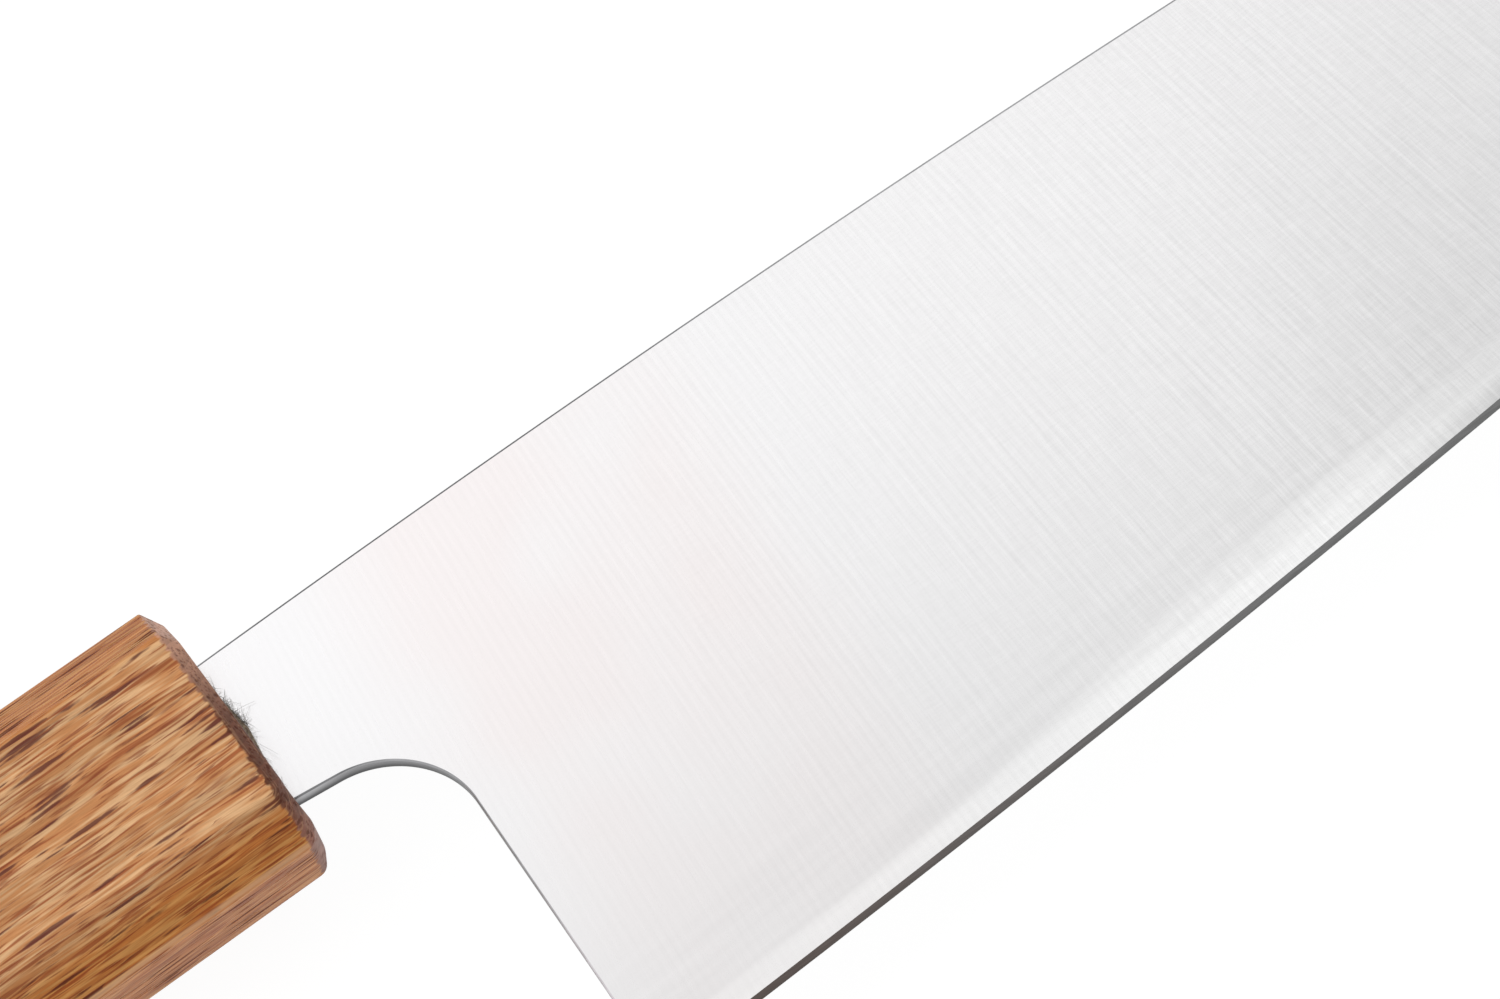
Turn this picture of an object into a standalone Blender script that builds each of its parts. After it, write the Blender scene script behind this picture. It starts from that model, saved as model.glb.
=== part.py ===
"""Santoku kitchen knife: a blade laminated from three layers of steel, its tang, a
one-piece octagonal wooden handle and the resin bed that holds the tang in the wood.

The knife lies on its side. +X runs from the handle to the tip, +Y from the cutting
edge to the spine, and +Z out of the blade's right face. All lengths are in metres.
The pieces are modelled with x = 0 at the handle's front end, y = 0 on the spine
there and z = 0 in the blade's middle plane, and one empty then sets them down.
"""

import math

import bmesh
import bpy
import numpy as np

MM = 0.001

# Outline of the blade, seen from its side
BLADE_LENGTH = 165.0 * MM  # heel to tip, along x
HEEL_HEIGHT = 45.6 * MM  # cutting edge to spine at the heel
SPINE_RISE = math.radians(0.82)  # the spine climbs by this at the handle
SPINE_RADIUS = 1550.0 * MM  # and bends down with this radius
EDGE_RISE = math.radians(2.2)  # slope of the cutting edge at the heel
EDGE_RADIUS = 1700.0 * MM
BELLY_LENGTH = 90.0 * MM  # the front stretch where the edge turns up more
BELLY_LIFT = 2.0 * MM
NOSE_LENGTH = 58.0 * MM  # the spine drops to the tip over this
NOSE_POWER = 2.3
TIP_FLAT = 0.8 * MM
NECK_LENGTH = 11.1 * MM  # handle to heel line
HEEL_LEAN = math.radians(1.4)  # the heel line falls back towards its corner by this
NECK_HEIGHT = 12.6 * MM  # where the neck leaves the handle
NECK_FALL = math.radians(6.0)  # its underside falls away by this
CHOIL_WIDTH = 7.2 * MM  # the quarter ellipse from the neck down to the heel line
CHOIL_DEPTH = 6.5 * MM

# Thickness of the blade
NECK_THICKNESS = 2.2 * MM
NOSE_THICKNESS = 1.5 * MM  # at the spine, where the nose begins
TIP_THICKNESS = 0.8 * MM
CORE_THICKNESS = 0.6 * MM  # the hard middle layer
LAMINATION_HEIGHT = 4.4 * MM  # grinding lays the core bare up to here
BEVEL_WIDTH = 0.55 * MM  # the narrow sharpened facet along the cutting edge
BEVEL_THICKNESS = 0.28 * MM  # from face to face at its upper limit
GRIND_BULGE = 0.3  # how much fuller than a flat wedge the ground faces are
EASED_EDGE = 0.15 * MM  # along the spine, the neck, the choil and the heel

# Tang, inside the handle
TANG_LENGTH = 98.0 * MM
TANG_END_HEIGHT = 5.0 * MM
SHOULDER_DEPTH = 3.0 * MM  # from the handle's front end back to the shoulders
SHOULDER_RUN = 1.5 * MM
SHOULDER_STEP = 1.2 * MM

# Resin bed, and the slot that it fills
SLOT_WIDTH = 3.0 * MM
SLOT_DROP = 0.2 * MM  # the tang lies this far below the handle's middle
BED_THICKNESS = 0.5 * MM  # above, below and behind the tang
BED_RECESS = 0.5 * MM  # its front lies this far inside the slot's mouth
SEAT_GAP = 0.3 * MM

# Handle, with heights along y and thicknesses along z
HANDLE_LENGTH = 128.0 * MM
FRONT_HEIGHT = 22.1 * MM
FRONT_THICKNESS = 18.6 * MM
FRONT_CHAMFER = 3.7 * MM  # height of its slanted faces
REAR_HEIGHT = 24.0 * MM
REAR_THICKNESS = 21.0 * MM
REAR_CHAMFER = 4.3 * MM
CHAMFER_ANGLE = math.radians(34.7)  # from the top or bottom face to a slanted one
FRONT_SLANT = math.radians(0.8)  # the front end is cut this far off square
FRONT_BEVEL = 1.7 * MM  # how far the bevel reaches in over the front end
FRONT_BEVEL_DEPTH = 1.0 * MM  # and back along the sides
REAR_BEVEL = 1.6 * MM
ARRIS_ROUNDING = 0.3 * MM  # the handle's long edges

# Fineness of the blade's mesh
TANG_COLUMNS = 6
NECK_COLUMNS = 2
CHOIL_COLUMNS = 9
BLADE_COLUMNS = 36
ROWS_ABOVE_CHOIL = 4
ROWS_BELOW_CHOIL = 4
LAMINATION_ROW = ROWS_ABOVE_CHOIL + ROWS_BELOW_CHOIL
BEVEL_ROW = LAMINATION_ROW + 1
EDGE_ROW = LAMINATION_ROW + 2

HEEL_X = NECK_LENGTH
INNER_HEEL_X = HEEL_X + EASED_EDGE
TIP_X = NECK_LENGTH + BLADE_LENGTH
CHOIL_END_Y = -NECK_HEIGHT - NECK_LENGTH * math.tan(NECK_FALL) - CHOIL_DEPTH
AXIS_Y = -NECK_HEIGHT / 2  # middle of the tang
HANDLE_Y = AXIS_Y + SLOT_DROP  # middle of the handle
CORE_Z = CORE_THICKNESS / 2
NECK_Z = NECK_THICKNESS / 2


def straight_spine_y(x):
    """Height of the spine without its nose: a slope that bends down in a wide arc."""
    return x * math.tan(SPINE_RISE) - x**2 / (2 * SPINE_RADIUS)


def edge_y(x):
    """Height of the cutting edge: a slope, a wide arc and a cubic lift to the tip."""
    run = x - HEEL_X
    straight = straight_spine_y(HEEL_X) - HEEL_HEIGHT + run * math.tan(EDGE_RISE)
    belly = max(0.0, (x - TIP_X + BELLY_LENGTH) / BELLY_LENGTH)
    return straight + run**2 / (2 * EDGE_RADIUS) + BELLY_LIFT * belly**3


def spine_y(x):
    """Height of the spine and of the nose, which drops by a power of its run."""
    drop = straight_spine_y(TIP_X) - edge_y(TIP_X) - TIP_FLAT
    run = max(0.0, (x - TIP_X + NOSE_LENGTH) / NOSE_LENGTH)
    return straight_spine_y(x) - drop * run**NOSE_POWER


def neck_underside_y(x):
    """Height of the neck's straight underside, before the choil."""
    return -NECK_HEIGHT - x * math.tan(NECK_FALL)


def tang_half_height(x):
    """Half the tang's height: the neck's, in over the shoulders, then a taper."""
    depths = [SHOULDER_DEPTH, SHOULDER_DEPTH + SHOULDER_RUN, TANG_LENGTH]
    wide = NECK_HEIGHT / 2
    return float(np.interp(-x, depths, [wide, wide - SHOULDER_STEP, TANG_END_HEIGHT / 2]))


def lamination_y(x):
    """Height at which the core comes out of the cladding."""
    return edge_y(x) + min(LAMINATION_HEIGHT, (spine_y(x) - edge_y(x)) / 2)


def bevel_y(x):
    """Height of the upper limit of the narrow facet along the cutting edge."""
    return edge_y(x) + min(BEVEL_WIDTH, (lamination_y(x) - edge_y(x)) / 2)


def face_z(x, y):
    """Half the blade's thickness above the lamination line.

    The ground face is a slightly full wedge from the core up to the spine, which
    itself thins towards the tip. It fades into the flat neck behind the heel line.
    """
    stations = [HEEL_X, TIP_X - NOSE_LENGTH, TIP_X]
    spine_z = float(np.interp(x, stations, [NECK_Z, NOSE_THICKNESS / 2, TIP_THICKNESS / 2]))
    share = (y - lamination_y(x)) / (spine_y(x) - lamination_y(x))
    ground = CORE_Z + (spine_z - CORE_Z) * share * (1 + GRIND_BULGE * (1 - share))
    fade = min(1.0, max(0.0, 1 - x / INNER_HEEL_X))
    return ground + (NECK_Z - ground) * fade * fade * (3 - 2 * fade)


def inner_top_y(x):
    """Height of the line that runs one eased edge below the spine."""
    slope = (spine_y(x + MM / 2) - spine_y(x - MM / 2)) / MM
    return spine_y(x) - EASED_EDGE * math.hypot(1.0, slope)


def leaned_x(x, y):
    """Place of a point of the blade once the heel line leans: below the choil it moves
    back in proportion to its depth, and the move fades out evenly towards the tip."""
    depth = max(0.0, CHOIL_END_Y - y)
    share = (TIP_X - EASED_EDGE - x) / (TIP_X - EASED_EDGE - INNER_HEEL_X)
    return x - depth * math.tan(HEEL_LEAN) * share


def neck_columns():
    """Columns of tang, neck and choil as x, upper y and lower y, one eased edge inside
    the true outline. The choil is a quarter ellipse, moved in along its own normal."""
    bounds = []
    shoulder_end = -SHOULDER_DEPTH - SHOULDER_RUN
    for x in [*np.linspace(EASED_EDGE - TANG_LENGTH, shoulder_end, TANG_COLUMNS), -SHOULDER_DEPTH]:
        half = tang_half_height(x) - EASED_EDGE
        bounds.append((x, AXIS_Y + half, AXIS_Y - half))
    choil_x = HEEL_X - CHOIL_WIDTH
    for x in np.linspace(0.0, choil_x, NECK_COLUMNS, endpoint=False):
        bounds.append((x, inner_top_y(x), neck_underside_y(x) + EASED_EDGE))
    for turn in np.linspace(0.0, math.pi / 2, CHOIL_COLUMNS):
        x = choil_x + CHOIL_WIDTH * math.sin(turn)
        y = neck_underside_y(x) - CHOIL_DEPTH * (1 - math.cos(turn))
        run = CHOIL_WIDTH * math.cos(turn)
        fall = run * math.tan(NECK_FALL) + CHOIL_DEPTH * math.sin(turn)
        inner_x = x + EASED_EDGE * fall / math.hypot(run, fall)
        inner_y = y + EASED_EDGE * run / math.hypot(run, fall)
        bounds.append((inner_x, inner_top_y(inner_x), inner_y))
    return bounds


def blade_plan():
    """Columns of (x, y) points from the spine down, over tang, neck and blade.

    The tang's and the neck's columns stop at the underside. The last column of the
    choil is the blade's first, and from there on the columns go down through the
    lamination line and the bevel's upper limit to the cutting edge.
    """
    bounds = neck_columns()
    columns = []
    for x, upper, lower in bounds[:-1]:
        columns.append([(x, y) for y in np.linspace(upper, lower, ROWS_ABOVE_CHOIL + 1)])
    _, upper, choil_end = bounds[-1]
    choil_share = (upper - choil_end) / (upper - lamination_y(INNER_HEEL_X))
    for x in np.linspace(INNER_HEEL_X, TIP_X - EASED_EDGE, BLADE_COLUMNS + 1):
        upper = inner_top_y(x)
        middle = upper + (lamination_y(x) - upper) * choil_share
        ys = list(np.linspace(upper, middle, ROWS_ABOVE_CHOIL + 1))
        ys += list(np.linspace(middle, lamination_y(x), ROWS_BELOW_CHOIL + 1))[1:]
        ys += [bevel_y(x), edge_y(x)]
        columns.append([(leaned_x(x, y), y) for y in ys])
    return columns


def rim_path(columns, last_row):
    """(column, row) pairs round the plan: up at the tip, back along the spine, down the
    tang's end, forward along the underside and the choil, and down the heel."""
    last = len(columns) - 1
    first_blade = last - BLADE_COLUMNS
    path = [(last, row) for row in range(last_row, 0, -1)]
    path += [(column, 0) for column in range(last, 0, -1)]
    path += [(0, row) for row in range(ROWS_ABOVE_CHOIL)]
    path += [(column, ROWS_ABOVE_CHOIL) for column in range(first_blade)]
    path += [(first_blade, row) for row in range(ROWS_ABOVE_CHOIL, last_row + 1)]
    return path


def moved_right(points, distance):
    """An open line moved to its right by a distance, with its corners kept sharp."""
    points = np.array(points)
    steps = np.diff(points, axis=0)
    normals = np.stack([steps[:, 1], -steps[:, 0]], axis=1)
    normals /= np.linalg.norm(normals, axis=1)[:, None]
    before = np.concatenate([normals[:1], normals])
    after = np.concatenate([normals, normals[-1:]])
    corner = (before + after) / (1 + (before * after).sum(axis=1))[:, None]
    return points + corner * distance


def vertex_pair(mesh, x, y, top, bottom):
    """Two vertices one above the other, or one where the plate runs out sharp."""
    upper = mesh.verts.new((x, y, top))
    if top == bottom:
        return upper, upper
    return upper, mesh.verts.new((x, y, bottom))


def add_face(mesh, corners):
    """A face whose coinciding corners count once."""
    distinct = list(dict.fromkeys(corners))
    if len(distinct) > 2:
        mesh.faces.new(distinct)


def core_heights(row, x, y):
    """The core is flat, then ground to the bevel's limit and to the cutting edge."""
    if row == EDGE_ROW:
        return 0.0, 0.0
    half = BEVEL_THICKNESS / 2 if row == BEVEL_ROW else CORE_Z
    return half, -half


def right_cladding_heights(row, x, y):
    """The right cladding lies flat on the core and runs out at the lamination line."""
    outer = CORE_Z if row == LAMINATION_ROW else face_z(x, y)
    return outer, CORE_Z


def left_cladding_heights(row, x, y):
    """The left cladding mirrors the right one."""
    outer, inner = right_cladding_heights(row, x, y)
    return -outer, -inner


def layer(name, heights, last_row, eased, colour, roughness):
    """One layer of the laminated steel, over the blade's plan down to one row.

    heights gives its outer and its inner z at a row and point. A band as wide as the
    eased edge runs round the rim, and an eased layer gets thinner across it.
    """
    mesh = bmesh.new()
    columns = blade_plan()
    grid = {}
    for i, column in enumerate(columns):
        for j, (x, y) in enumerate(column[: last_row + 1]):
            grid[i, j] = vertex_pair(mesh, x, y, *heights(j, x, y))

    path = rim_path(columns, last_row)
    rim = []
    for (i, j), (x, y) in zip(path, moved_right([columns[i][j] for i, j in path], EASED_EDGE)):
        outer, inner = heights(j, *columns[i][j])
        if eased:
            outer -= math.copysign(min(EASED_EDGE, abs(outer - inner) / 2), outer)
        rim.append(vertex_pair(mesh, x, y, outer, inner))

    for side in (0, 1):
        for i, column in enumerate(columns[:-1]):
            for j in range(min(len(column) - 1, last_row)):
                cells = [(i, j), (i, j + 1), (i + 1, j + 1), (i + 1, j)]
                add_face(mesh, [grid[cell][side] for cell in cells])
        for k in range(len(path) - 1):
            start, end = grid[path[k]][side], grid[path[k + 1]][side]
            add_face(mesh, [start, end, rim[k + 1][side], rim[k][side]])
    for here, beyond in zip(rim, rim[1:]):
        add_face(mesh, [here[0], beyond[0], beyond[1], here[1]])
    bmesh.ops.recalc_face_normals(mesh, faces=mesh.faces)
    return finish(name, mesh, colour, roughness, 1.0)


def finish(name, mesh, colour, roughness, metallic):
    """Turn a bmesh into an object with its own material and smooth round faces."""
    data = bpy.data.meshes.new(name)
    mesh.to_mesh(data)
    mesh.free()
    data.shade_smooth()
    data.set_sharp_from_angle(angle=math.radians(12))
    material = bpy.data.materials.new(name)
    material.use_nodes = True
    surface = material.node_tree.nodes["Principled BSDF"]
    surface.inputs["Base Color"].default_value = (*colour, 1.0)
    surface.inputs["Roughness"].default_value = roughness
    surface.inputs["Metallic"].default_value = metallic
    data.materials.append(material)
    piece = bpy.data.objects.new(name, data)
    bpy.context.collection.objects.link(piece)
    return piece


def tang_prism(margin, front_x, half_width):
    """Prism round the tang: its outline grown by a margin and closed by two flat sides."""
    xs = [front_x, -SHOULDER_DEPTH, -SHOULDER_DEPTH - SHOULDER_RUN, -TANG_LENGTH - margin]
    upper = [(x, AXIS_Y + tang_half_height(x) + margin) for x in xs]
    lower = [(x, AXIS_Y - tang_half_height(x) - margin) for x in reversed(xs)]
    mesh = bmesh.new()
    base = mesh.faces.new([mesh.verts.new((x, y, -half_width)) for x, y in upper + lower])
    moved = bmesh.ops.extrude_face_region(mesh, geom=[base])["geom"]
    raised = [item for item in moved if isinstance(item, bmesh.types.BMVert)]
    bmesh.ops.translate(mesh, verts=raised, vec=(0.0, 0.0, 2 * half_width))
    bmesh.ops.recalc_face_normals(mesh, faces=mesh.faces)
    return mesh


def cut(piece, cutter_mesh, name):
    """Cut a hollow out of a piece with a hidden cutter."""
    data = bpy.data.meshes.new(name)
    cutter_mesh.to_mesh(data)
    cutter_mesh.free()
    cutter = bpy.data.objects.new(name, data)
    bpy.context.collection.objects.link(cutter)
    cutter.hide_render = True
    cutter.display_type = "WIRE"
    modifier = piece.modifiers.new(name, "BOOLEAN")
    modifier.operation = "DIFFERENCE"
    modifier.solver = "EXACT"
    modifier.object = cutter
    return cutter


def tang_bed():
    """Resin that fills the slot round the tang, open at the front."""
    outer = tang_prism(SEAT_GAP + BED_THICKNESS, -BED_RECESS, SLOT_WIDTH / 2)
    bed = finish("tang_bed", outer, (0.20, 0.18, 0.12), 0.5, 0.0)
    hollow = cut(bed, tang_prism(SEAT_GAP, BED_RECESS, NECK_Z), "tang_hollow")
    return bed, hollow


def octagon(x):
    """Corners (y, z) of the handle's section at x, in order round its middle."""
    rearward = -x / HANDLE_LENGTH
    y = (FRONT_HEIGHT + (REAR_HEIGHT - FRONT_HEIGHT) * rearward) / 2
    z = (FRONT_THICKNESS + (REAR_THICKNESS - FRONT_THICKNESS) * rearward) / 2
    chamfer = FRONT_CHAMFER + (REAR_CHAMFER - FRONT_CHAMFER) * rearward
    inset = chamfer / math.tan(CHAMFER_ANGLE)
    corners = [(y, z - inset), (y, inset - z), (y - chamfer, -z), (chamfer - y, -z)]
    return corners + [(-a, -b) for a, b in corners]


def handle():
    """One octagonal piece of wood, thicker to the rear, sawn at a slight slant at the
    front, bevelled at both ends and with its long edges rounded. The front's flat bevel
    reaches further in than back, so it is an inset of the sawn face, pushed forward."""
    mesh = bmesh.new()
    loops = []
    for x in (FRONT_HEIGHT * math.tan(FRONT_SLANT), -HANDLE_LENGTH):
        corners = [mesh.verts.new((x, HANDLE_Y + y, z)) for y, z in octagon(x)]
        loops += list(mesh.faces.new(corners).edges)
    bmesh.ops.bridge_loops(mesh, edges=loops)
    bmesh.ops.recalc_face_normals(mesh, faces=mesh.faces)
    sawn = bmesh.ops.bisect_plane(
        mesh,
        geom=[*mesh.verts, *mesh.edges, *mesh.faces],
        plane_co=(-FRONT_BEVEL_DEPTH / math.cos(FRONT_SLANT), HANDLE_Y, 0.0),
        plane_no=(math.cos(FRONT_SLANT), math.sin(FRONT_SLANT), 0.0),
        clear_outer=True,
    )["geom_cut"]
    front_edges = [item for item in sawn if isinstance(item, bmesh.types.BMEdge)]
    front = bmesh.ops.edgeloop_fill(mesh, edges=front_edges)["faces"]
    bmesh.ops.recalc_face_normals(mesh, faces=mesh.faces)
    bmesh.ops.inset_region(
        mesh, faces=front, thickness=FRONT_BEVEL, depth=FRONT_BEVEL_DEPTH, use_even_offset=True
    )
    rear_edges = [edge for edge in mesh.edges if all(v.co.x < -HANDLE_LENGTH / 2 for v in edge.verts)]
    bmesh.ops.bevel(
        mesh, geom=rear_edges, offset=REAR_BEVEL, segments=1, profile=0.5, affect="EDGES"
    )
    long_edges = [edge for edge in mesh.edges if is_long_edge(edge)]
    bmesh.ops.bevel(
        mesh, geom=long_edges, offset=ARRIS_ROUNDING, segments=2, profile=0.5, affect="EDGES"
    )
    wood = finish("handle", mesh, (0.45, 0.24, 0.10), 0.55, 0.0)
    slot_margin = SEAT_GAP + BED_THICKNESS + SEAT_GAP
    slot = cut(wood, tang_prism(slot_margin, FRONT_BEVEL_DEPTH, SLOT_WIDTH / 2), "tang_slot")
    return wood, slot


def is_long_edge(edge):
    """Whether an edge runs along the handle from end to end."""
    start, end = edge.verts
    return abs(start.co.x - end.co.x) > HANDLE_LENGTH / 2


def set_down(pieces):
    """Move the pieces under one empty, so that the knife stands centred on the origin."""
    root = bpy.data.objects.new("knife_origin", None)
    bpy.context.collection.objects.link(root)
    corners = np.array([corner for piece in pieces for corner in piece.bound_box])
    low = corners.min(axis=0)
    high = corners.max(axis=0)
    root.location = (-(low[0] + high[0]) / 2, -(low[1] + high[1]) / 2, -low[2])
    return root


def main():
    """Clear the scene, build every piece and set the knife down."""
    for item in list(bpy.data.objects):
        bpy.data.objects.remove(item, do_unlink=True)
    core = layer("blade_core", core_heights, EDGE_ROW, False, (0.30, 0.30, 0.31), 0.3)
    steel = (0.72, 0.72, 0.73)
    right = layer("right_cladding", right_cladding_heights, LAMINATION_ROW, True, steel, 0.35)
    left = layer("left_cladding", left_cladding_heights, LAMINATION_ROW, True, steel, 0.35)
    bed, hollow = tang_bed()
    wood, slot = handle()
    bpy.context.view_layer.update()
    pieces = [core, right, left, bed, wood]
    root = set_down(pieces)
    for piece in [*pieces, hollow, slot]:
        piece.parent = root


main()
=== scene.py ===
# %% [markdown]
# # A santoku kitchen knife on its side
# A santoku is a broad, thin kitchen knife. This one has a blade of three layers of
# steel, ground by hand on both faces, and an eight-sided wooden handle that a tang is
# set into with resin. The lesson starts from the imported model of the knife, whose
# solids are exact but plain. It makes a finer surface for each piece, gives each its
# real finish, and lights and photographs the knife.

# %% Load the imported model
import math
from functools import partial

import bmesh
import bpy
import numpy as np
from mathutils import Matrix, Vector


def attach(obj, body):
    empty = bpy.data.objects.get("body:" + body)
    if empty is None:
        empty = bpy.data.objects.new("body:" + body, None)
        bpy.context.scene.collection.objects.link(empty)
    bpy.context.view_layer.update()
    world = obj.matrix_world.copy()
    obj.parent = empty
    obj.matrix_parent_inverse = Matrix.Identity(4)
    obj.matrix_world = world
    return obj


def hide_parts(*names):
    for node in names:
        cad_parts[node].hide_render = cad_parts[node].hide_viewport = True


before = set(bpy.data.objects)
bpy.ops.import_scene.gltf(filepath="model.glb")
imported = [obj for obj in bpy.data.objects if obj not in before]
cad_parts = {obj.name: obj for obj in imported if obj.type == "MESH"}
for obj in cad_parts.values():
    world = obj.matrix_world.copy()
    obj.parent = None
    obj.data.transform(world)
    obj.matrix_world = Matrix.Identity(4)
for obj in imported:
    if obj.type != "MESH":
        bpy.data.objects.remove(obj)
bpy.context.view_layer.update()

print("packed pieces:", ", ".join(sorted(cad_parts)))

# %% [markdown]
# ## Where the knife lies
# The knife's sizes are in millimetres, because that is how it is measured, and one
# function turns them into metres in the frame. The pieces are worked out from the
# handle's front end, where the spine comes out of the wood: x runs to the tip, y from
# the cutting edge to the spine, and z out of the right face.

# %% Millimetres at the knife, metres in the frame
MM = 0.001
SET_DOWN = np.array([-24.05, 19.7935, 10.485])  # from the knife's own origin to the frame's


def in_frame(points):
    """Place = (point in mm + where the knife is set down) times 0.001."""
    return (np.asarray(points, float) + SET_DOWN) * MM


print("the knife's own origin in the frame, in m:", in_frame([0, 0, 0]))

# %% [markdown]
# ## The camera
# The picture looks almost straight down on the right face. The lens leans 15.5 degrees
# towards the cutting edge and 3.5 degrees towards the handle, so that the underside
# of the neck shows and the handle's front end doesn't. A constraint could aim it, but
# a matrix made of three directions leaves nothing to chance. A long lens from far away
# is chosen, because the edge and the spine don't draw together in the picture, as they
# would through a near one.

# %% Set up the camera
TO_LENS = Vector((-0.0610, -0.2677, 0.9616)).normalized()
ROLL = math.radians(35.12)  # the knife's length climbs by this across the picture
AIM = Vector((16.24, 5.95, 11.4)) * MM  # what the middle of the picture shows
DISTANCE = 2.0  # from the lens to the knife, in metres
PICTURE_WIDTH = 0.110  # of the blade's plane, in metres
SENSOR_WIDTH = 36.0
CLIP_START = 0.01  # in metres


def into_scene(name, data):
    """A new object in the scene for a camera, a lamp or a mesh."""
    thing = bpy.data.objects.new(name, data)
    bpy.context.collection.objects.link(thing)
    return thing


def aimed(location, back, roll):
    """Matrix whose Z axis is back, with the frame's X axis turned up by the roll."""
    along = (Vector((1, 0, 0)) - back * back.x).normalized()
    across = back.cross(along)
    right = along * math.cos(roll) - across * math.sin(roll)
    up = along * math.sin(roll) + across * math.cos(roll)
    columns = [(*axis, 0.0) for axis in (right, up, back)] + [(*location, 1.0)]
    return Matrix(columns).transposed()


lens = bpy.data.cameras.new("camera")
lens.sensor_width = SENSOR_WIDTH
lens.lens = SENSOR_WIDTH * DISTANCE / PICTURE_WIDTH
lens.clip_start = CLIP_START
camera = into_scene("camera", lens)
camera.matrix_world = aimed(AIM + TO_LENS * DISTANCE, TO_LENS, ROLL)
bpy.context.scene.camera = camera
print("lens of", round(lens.lens), "mm")

# %% [markdown]
# ## From grids of points to closed pieces
# Each piece is made of patches. A patch is a grid of points, worked out as a whole
# array. The patches of a piece share their borders, so welding the points that fall
# together closes the piece, and flat ends are filled last. This was chosen over
# Boolean cuts, which leave ragged triangles where a polished edge should run.

# %% Weld patches into a piece
WELD = 0.0008 * MM
CREASE = math.radians(32)  # a sharper bend than this shows as an edge


def grid_faces(rows, columns, start):
    """Four corners of every cell of a grid of points, counted from a first point."""
    index = start + np.arange(rows * columns).reshape(rows, columns)
    corners = [index[:-1, :-1], index[:-1, 1:], index[1:, 1:], index[1:, :-1]]
    return np.stack(corners, axis=-1).reshape(-1, 4)


def weld(name, patches, fill=True):
    """One closed object from patches given as (grid in mm, number of the finish)."""
    points, faces, finishes = [], [], []
    start = 0
    for grid, finish in patches:
        rows, columns = grid.shape[:2]
        points.append(in_frame(grid.reshape(-1, 3)))
        faces.append(grid_faces(rows, columns, start))
        finishes.append(np.full(len(faces[-1]), finish))
        start += rows * columns
    data = bpy.data.meshes.new(name)
    data.from_pydata(np.concatenate(points).tolist(), [], np.concatenate(faces).tolist())
    data.polygons.foreach_set("material_index", np.concatenate(finishes).astype(np.int32))
    mesh = bmesh.new()
    mesh.from_mesh(data)
    bmesh.ops.remove_doubles(mesh, verts=mesh.verts, dist=WELD)
    if fill:
        open_edges = [edge for edge in mesh.edges if edge.is_boundary]
        bmesh.ops.holes_fill(mesh, edges=open_edges, sides=0)
    bmesh.ops.recalc_face_normals(mesh, faces=mesh.faces)
    unclosed = sum(not edge.is_manifold for edge in mesh.edges)
    mesh.to_mesh(data)
    mesh.free()
    data.shade_smooth()
    data.set_sharp_from_angle(angle=CREASE)
    data.calc_loop_triangles()
    print(f"{name}: {len(data.loop_triangles)} triangles, {unclosed} open edges")
    return into_scene(name, data)


print("points nearer than", round(WELD / MM, 4), "mm are welded")

# %% [markdown]
# ## The blade's outline
# The spine is a slope that bends down in a very wide arc and then drops to the tip by
# a power of its run, as on a sheepsfoot nose. The cutting edge is a slope, a wide arc
# and a cubic lift to the tip. A traced line of points could do the same, but a few
# lengths and angles are easier to check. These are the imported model's own curves.

# %% Spine and cutting edge
BLADE_LENGTH = 165.0
HEEL_HEIGHT = 45.6
SPINE_RISE = math.radians(0.82)
SPINE_RADIUS = 1550.0
EDGE_RISE = math.radians(2.2)
EDGE_RADIUS = 1700.0
BELLY_LENGTH = 90.0
BELLY_LIFT = 2.0
NOSE_LENGTH = 58.0
NOSE_POWER = 2.3
TIP_FLAT = 0.8  # height of the blunt tip
HEEL_X = 11.1
TIP_X = HEEL_X + BLADE_LENGTH


def straight_spine_y(x):
    """Height = x times the rise, less x squared over twice the radius."""
    return x * math.tan(SPINE_RISE) - x**2 / (2 * SPINE_RADIUS)


def edge_y(x):
    """Height = a line, plus run squared over twice the radius, plus the belly cubed."""
    run = x - HEEL_X
    line = straight_spine_y(HEEL_X) - HEEL_HEIGHT + run * math.tan(EDGE_RISE)
    belly = np.clip((x - TIP_X + BELLY_LENGTH) / BELLY_LENGTH, 0, None)
    return line + run**2 / (2 * EDGE_RADIUS) + BELLY_LIFT * belly**3


def spine_y(x):
    """Height = the straight spine less a drop that grows by a power over the nose."""
    run = np.clip((x - TIP_X + NOSE_LENGTH) / NOSE_LENGTH, 0, None)
    drop = straight_spine_y(TIP_X) - edge_y(TIP_X) - TIP_FLAT
    return straight_spine_y(x) - drop * run**NOSE_POWER


print("heel is", round(float(spine_y(HEEL_X) - edge_y(HEEL_X)), 1), "mm high")

# %% [markdown]
# ## The blade's thickness
# Each face is ground as a slightly full wedge, from the spine down to the line where
# the hard core comes out of the softer cladding, and on to the narrow sharpened facet
# along the edge. The flat neck fades into that wedge behind the heel. The face could
# be sculpted, but a height for each x and y lets all the pieces meet exactly.

# %% Layers' line and sharpened facet
LAMINATION_HEIGHT = 4.4
WAVES = ((0.26, 5.3, 0.7), (0.17, 2.3, 2.0), (0.07, 0.83, 0.0))  # height, reach, phase
CALM_LENGTH = 30.0  # over which the waves die out at the tip
BEVEL_WIDTH = 0.55


def lamination_y(x):
    """Height of the layers' line: a set height over the edge, or half the blade's."""
    return edge_y(x) + np.minimum(LAMINATION_HEIGHT, (spine_y(x) - edge_y(x)) / 2)


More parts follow.
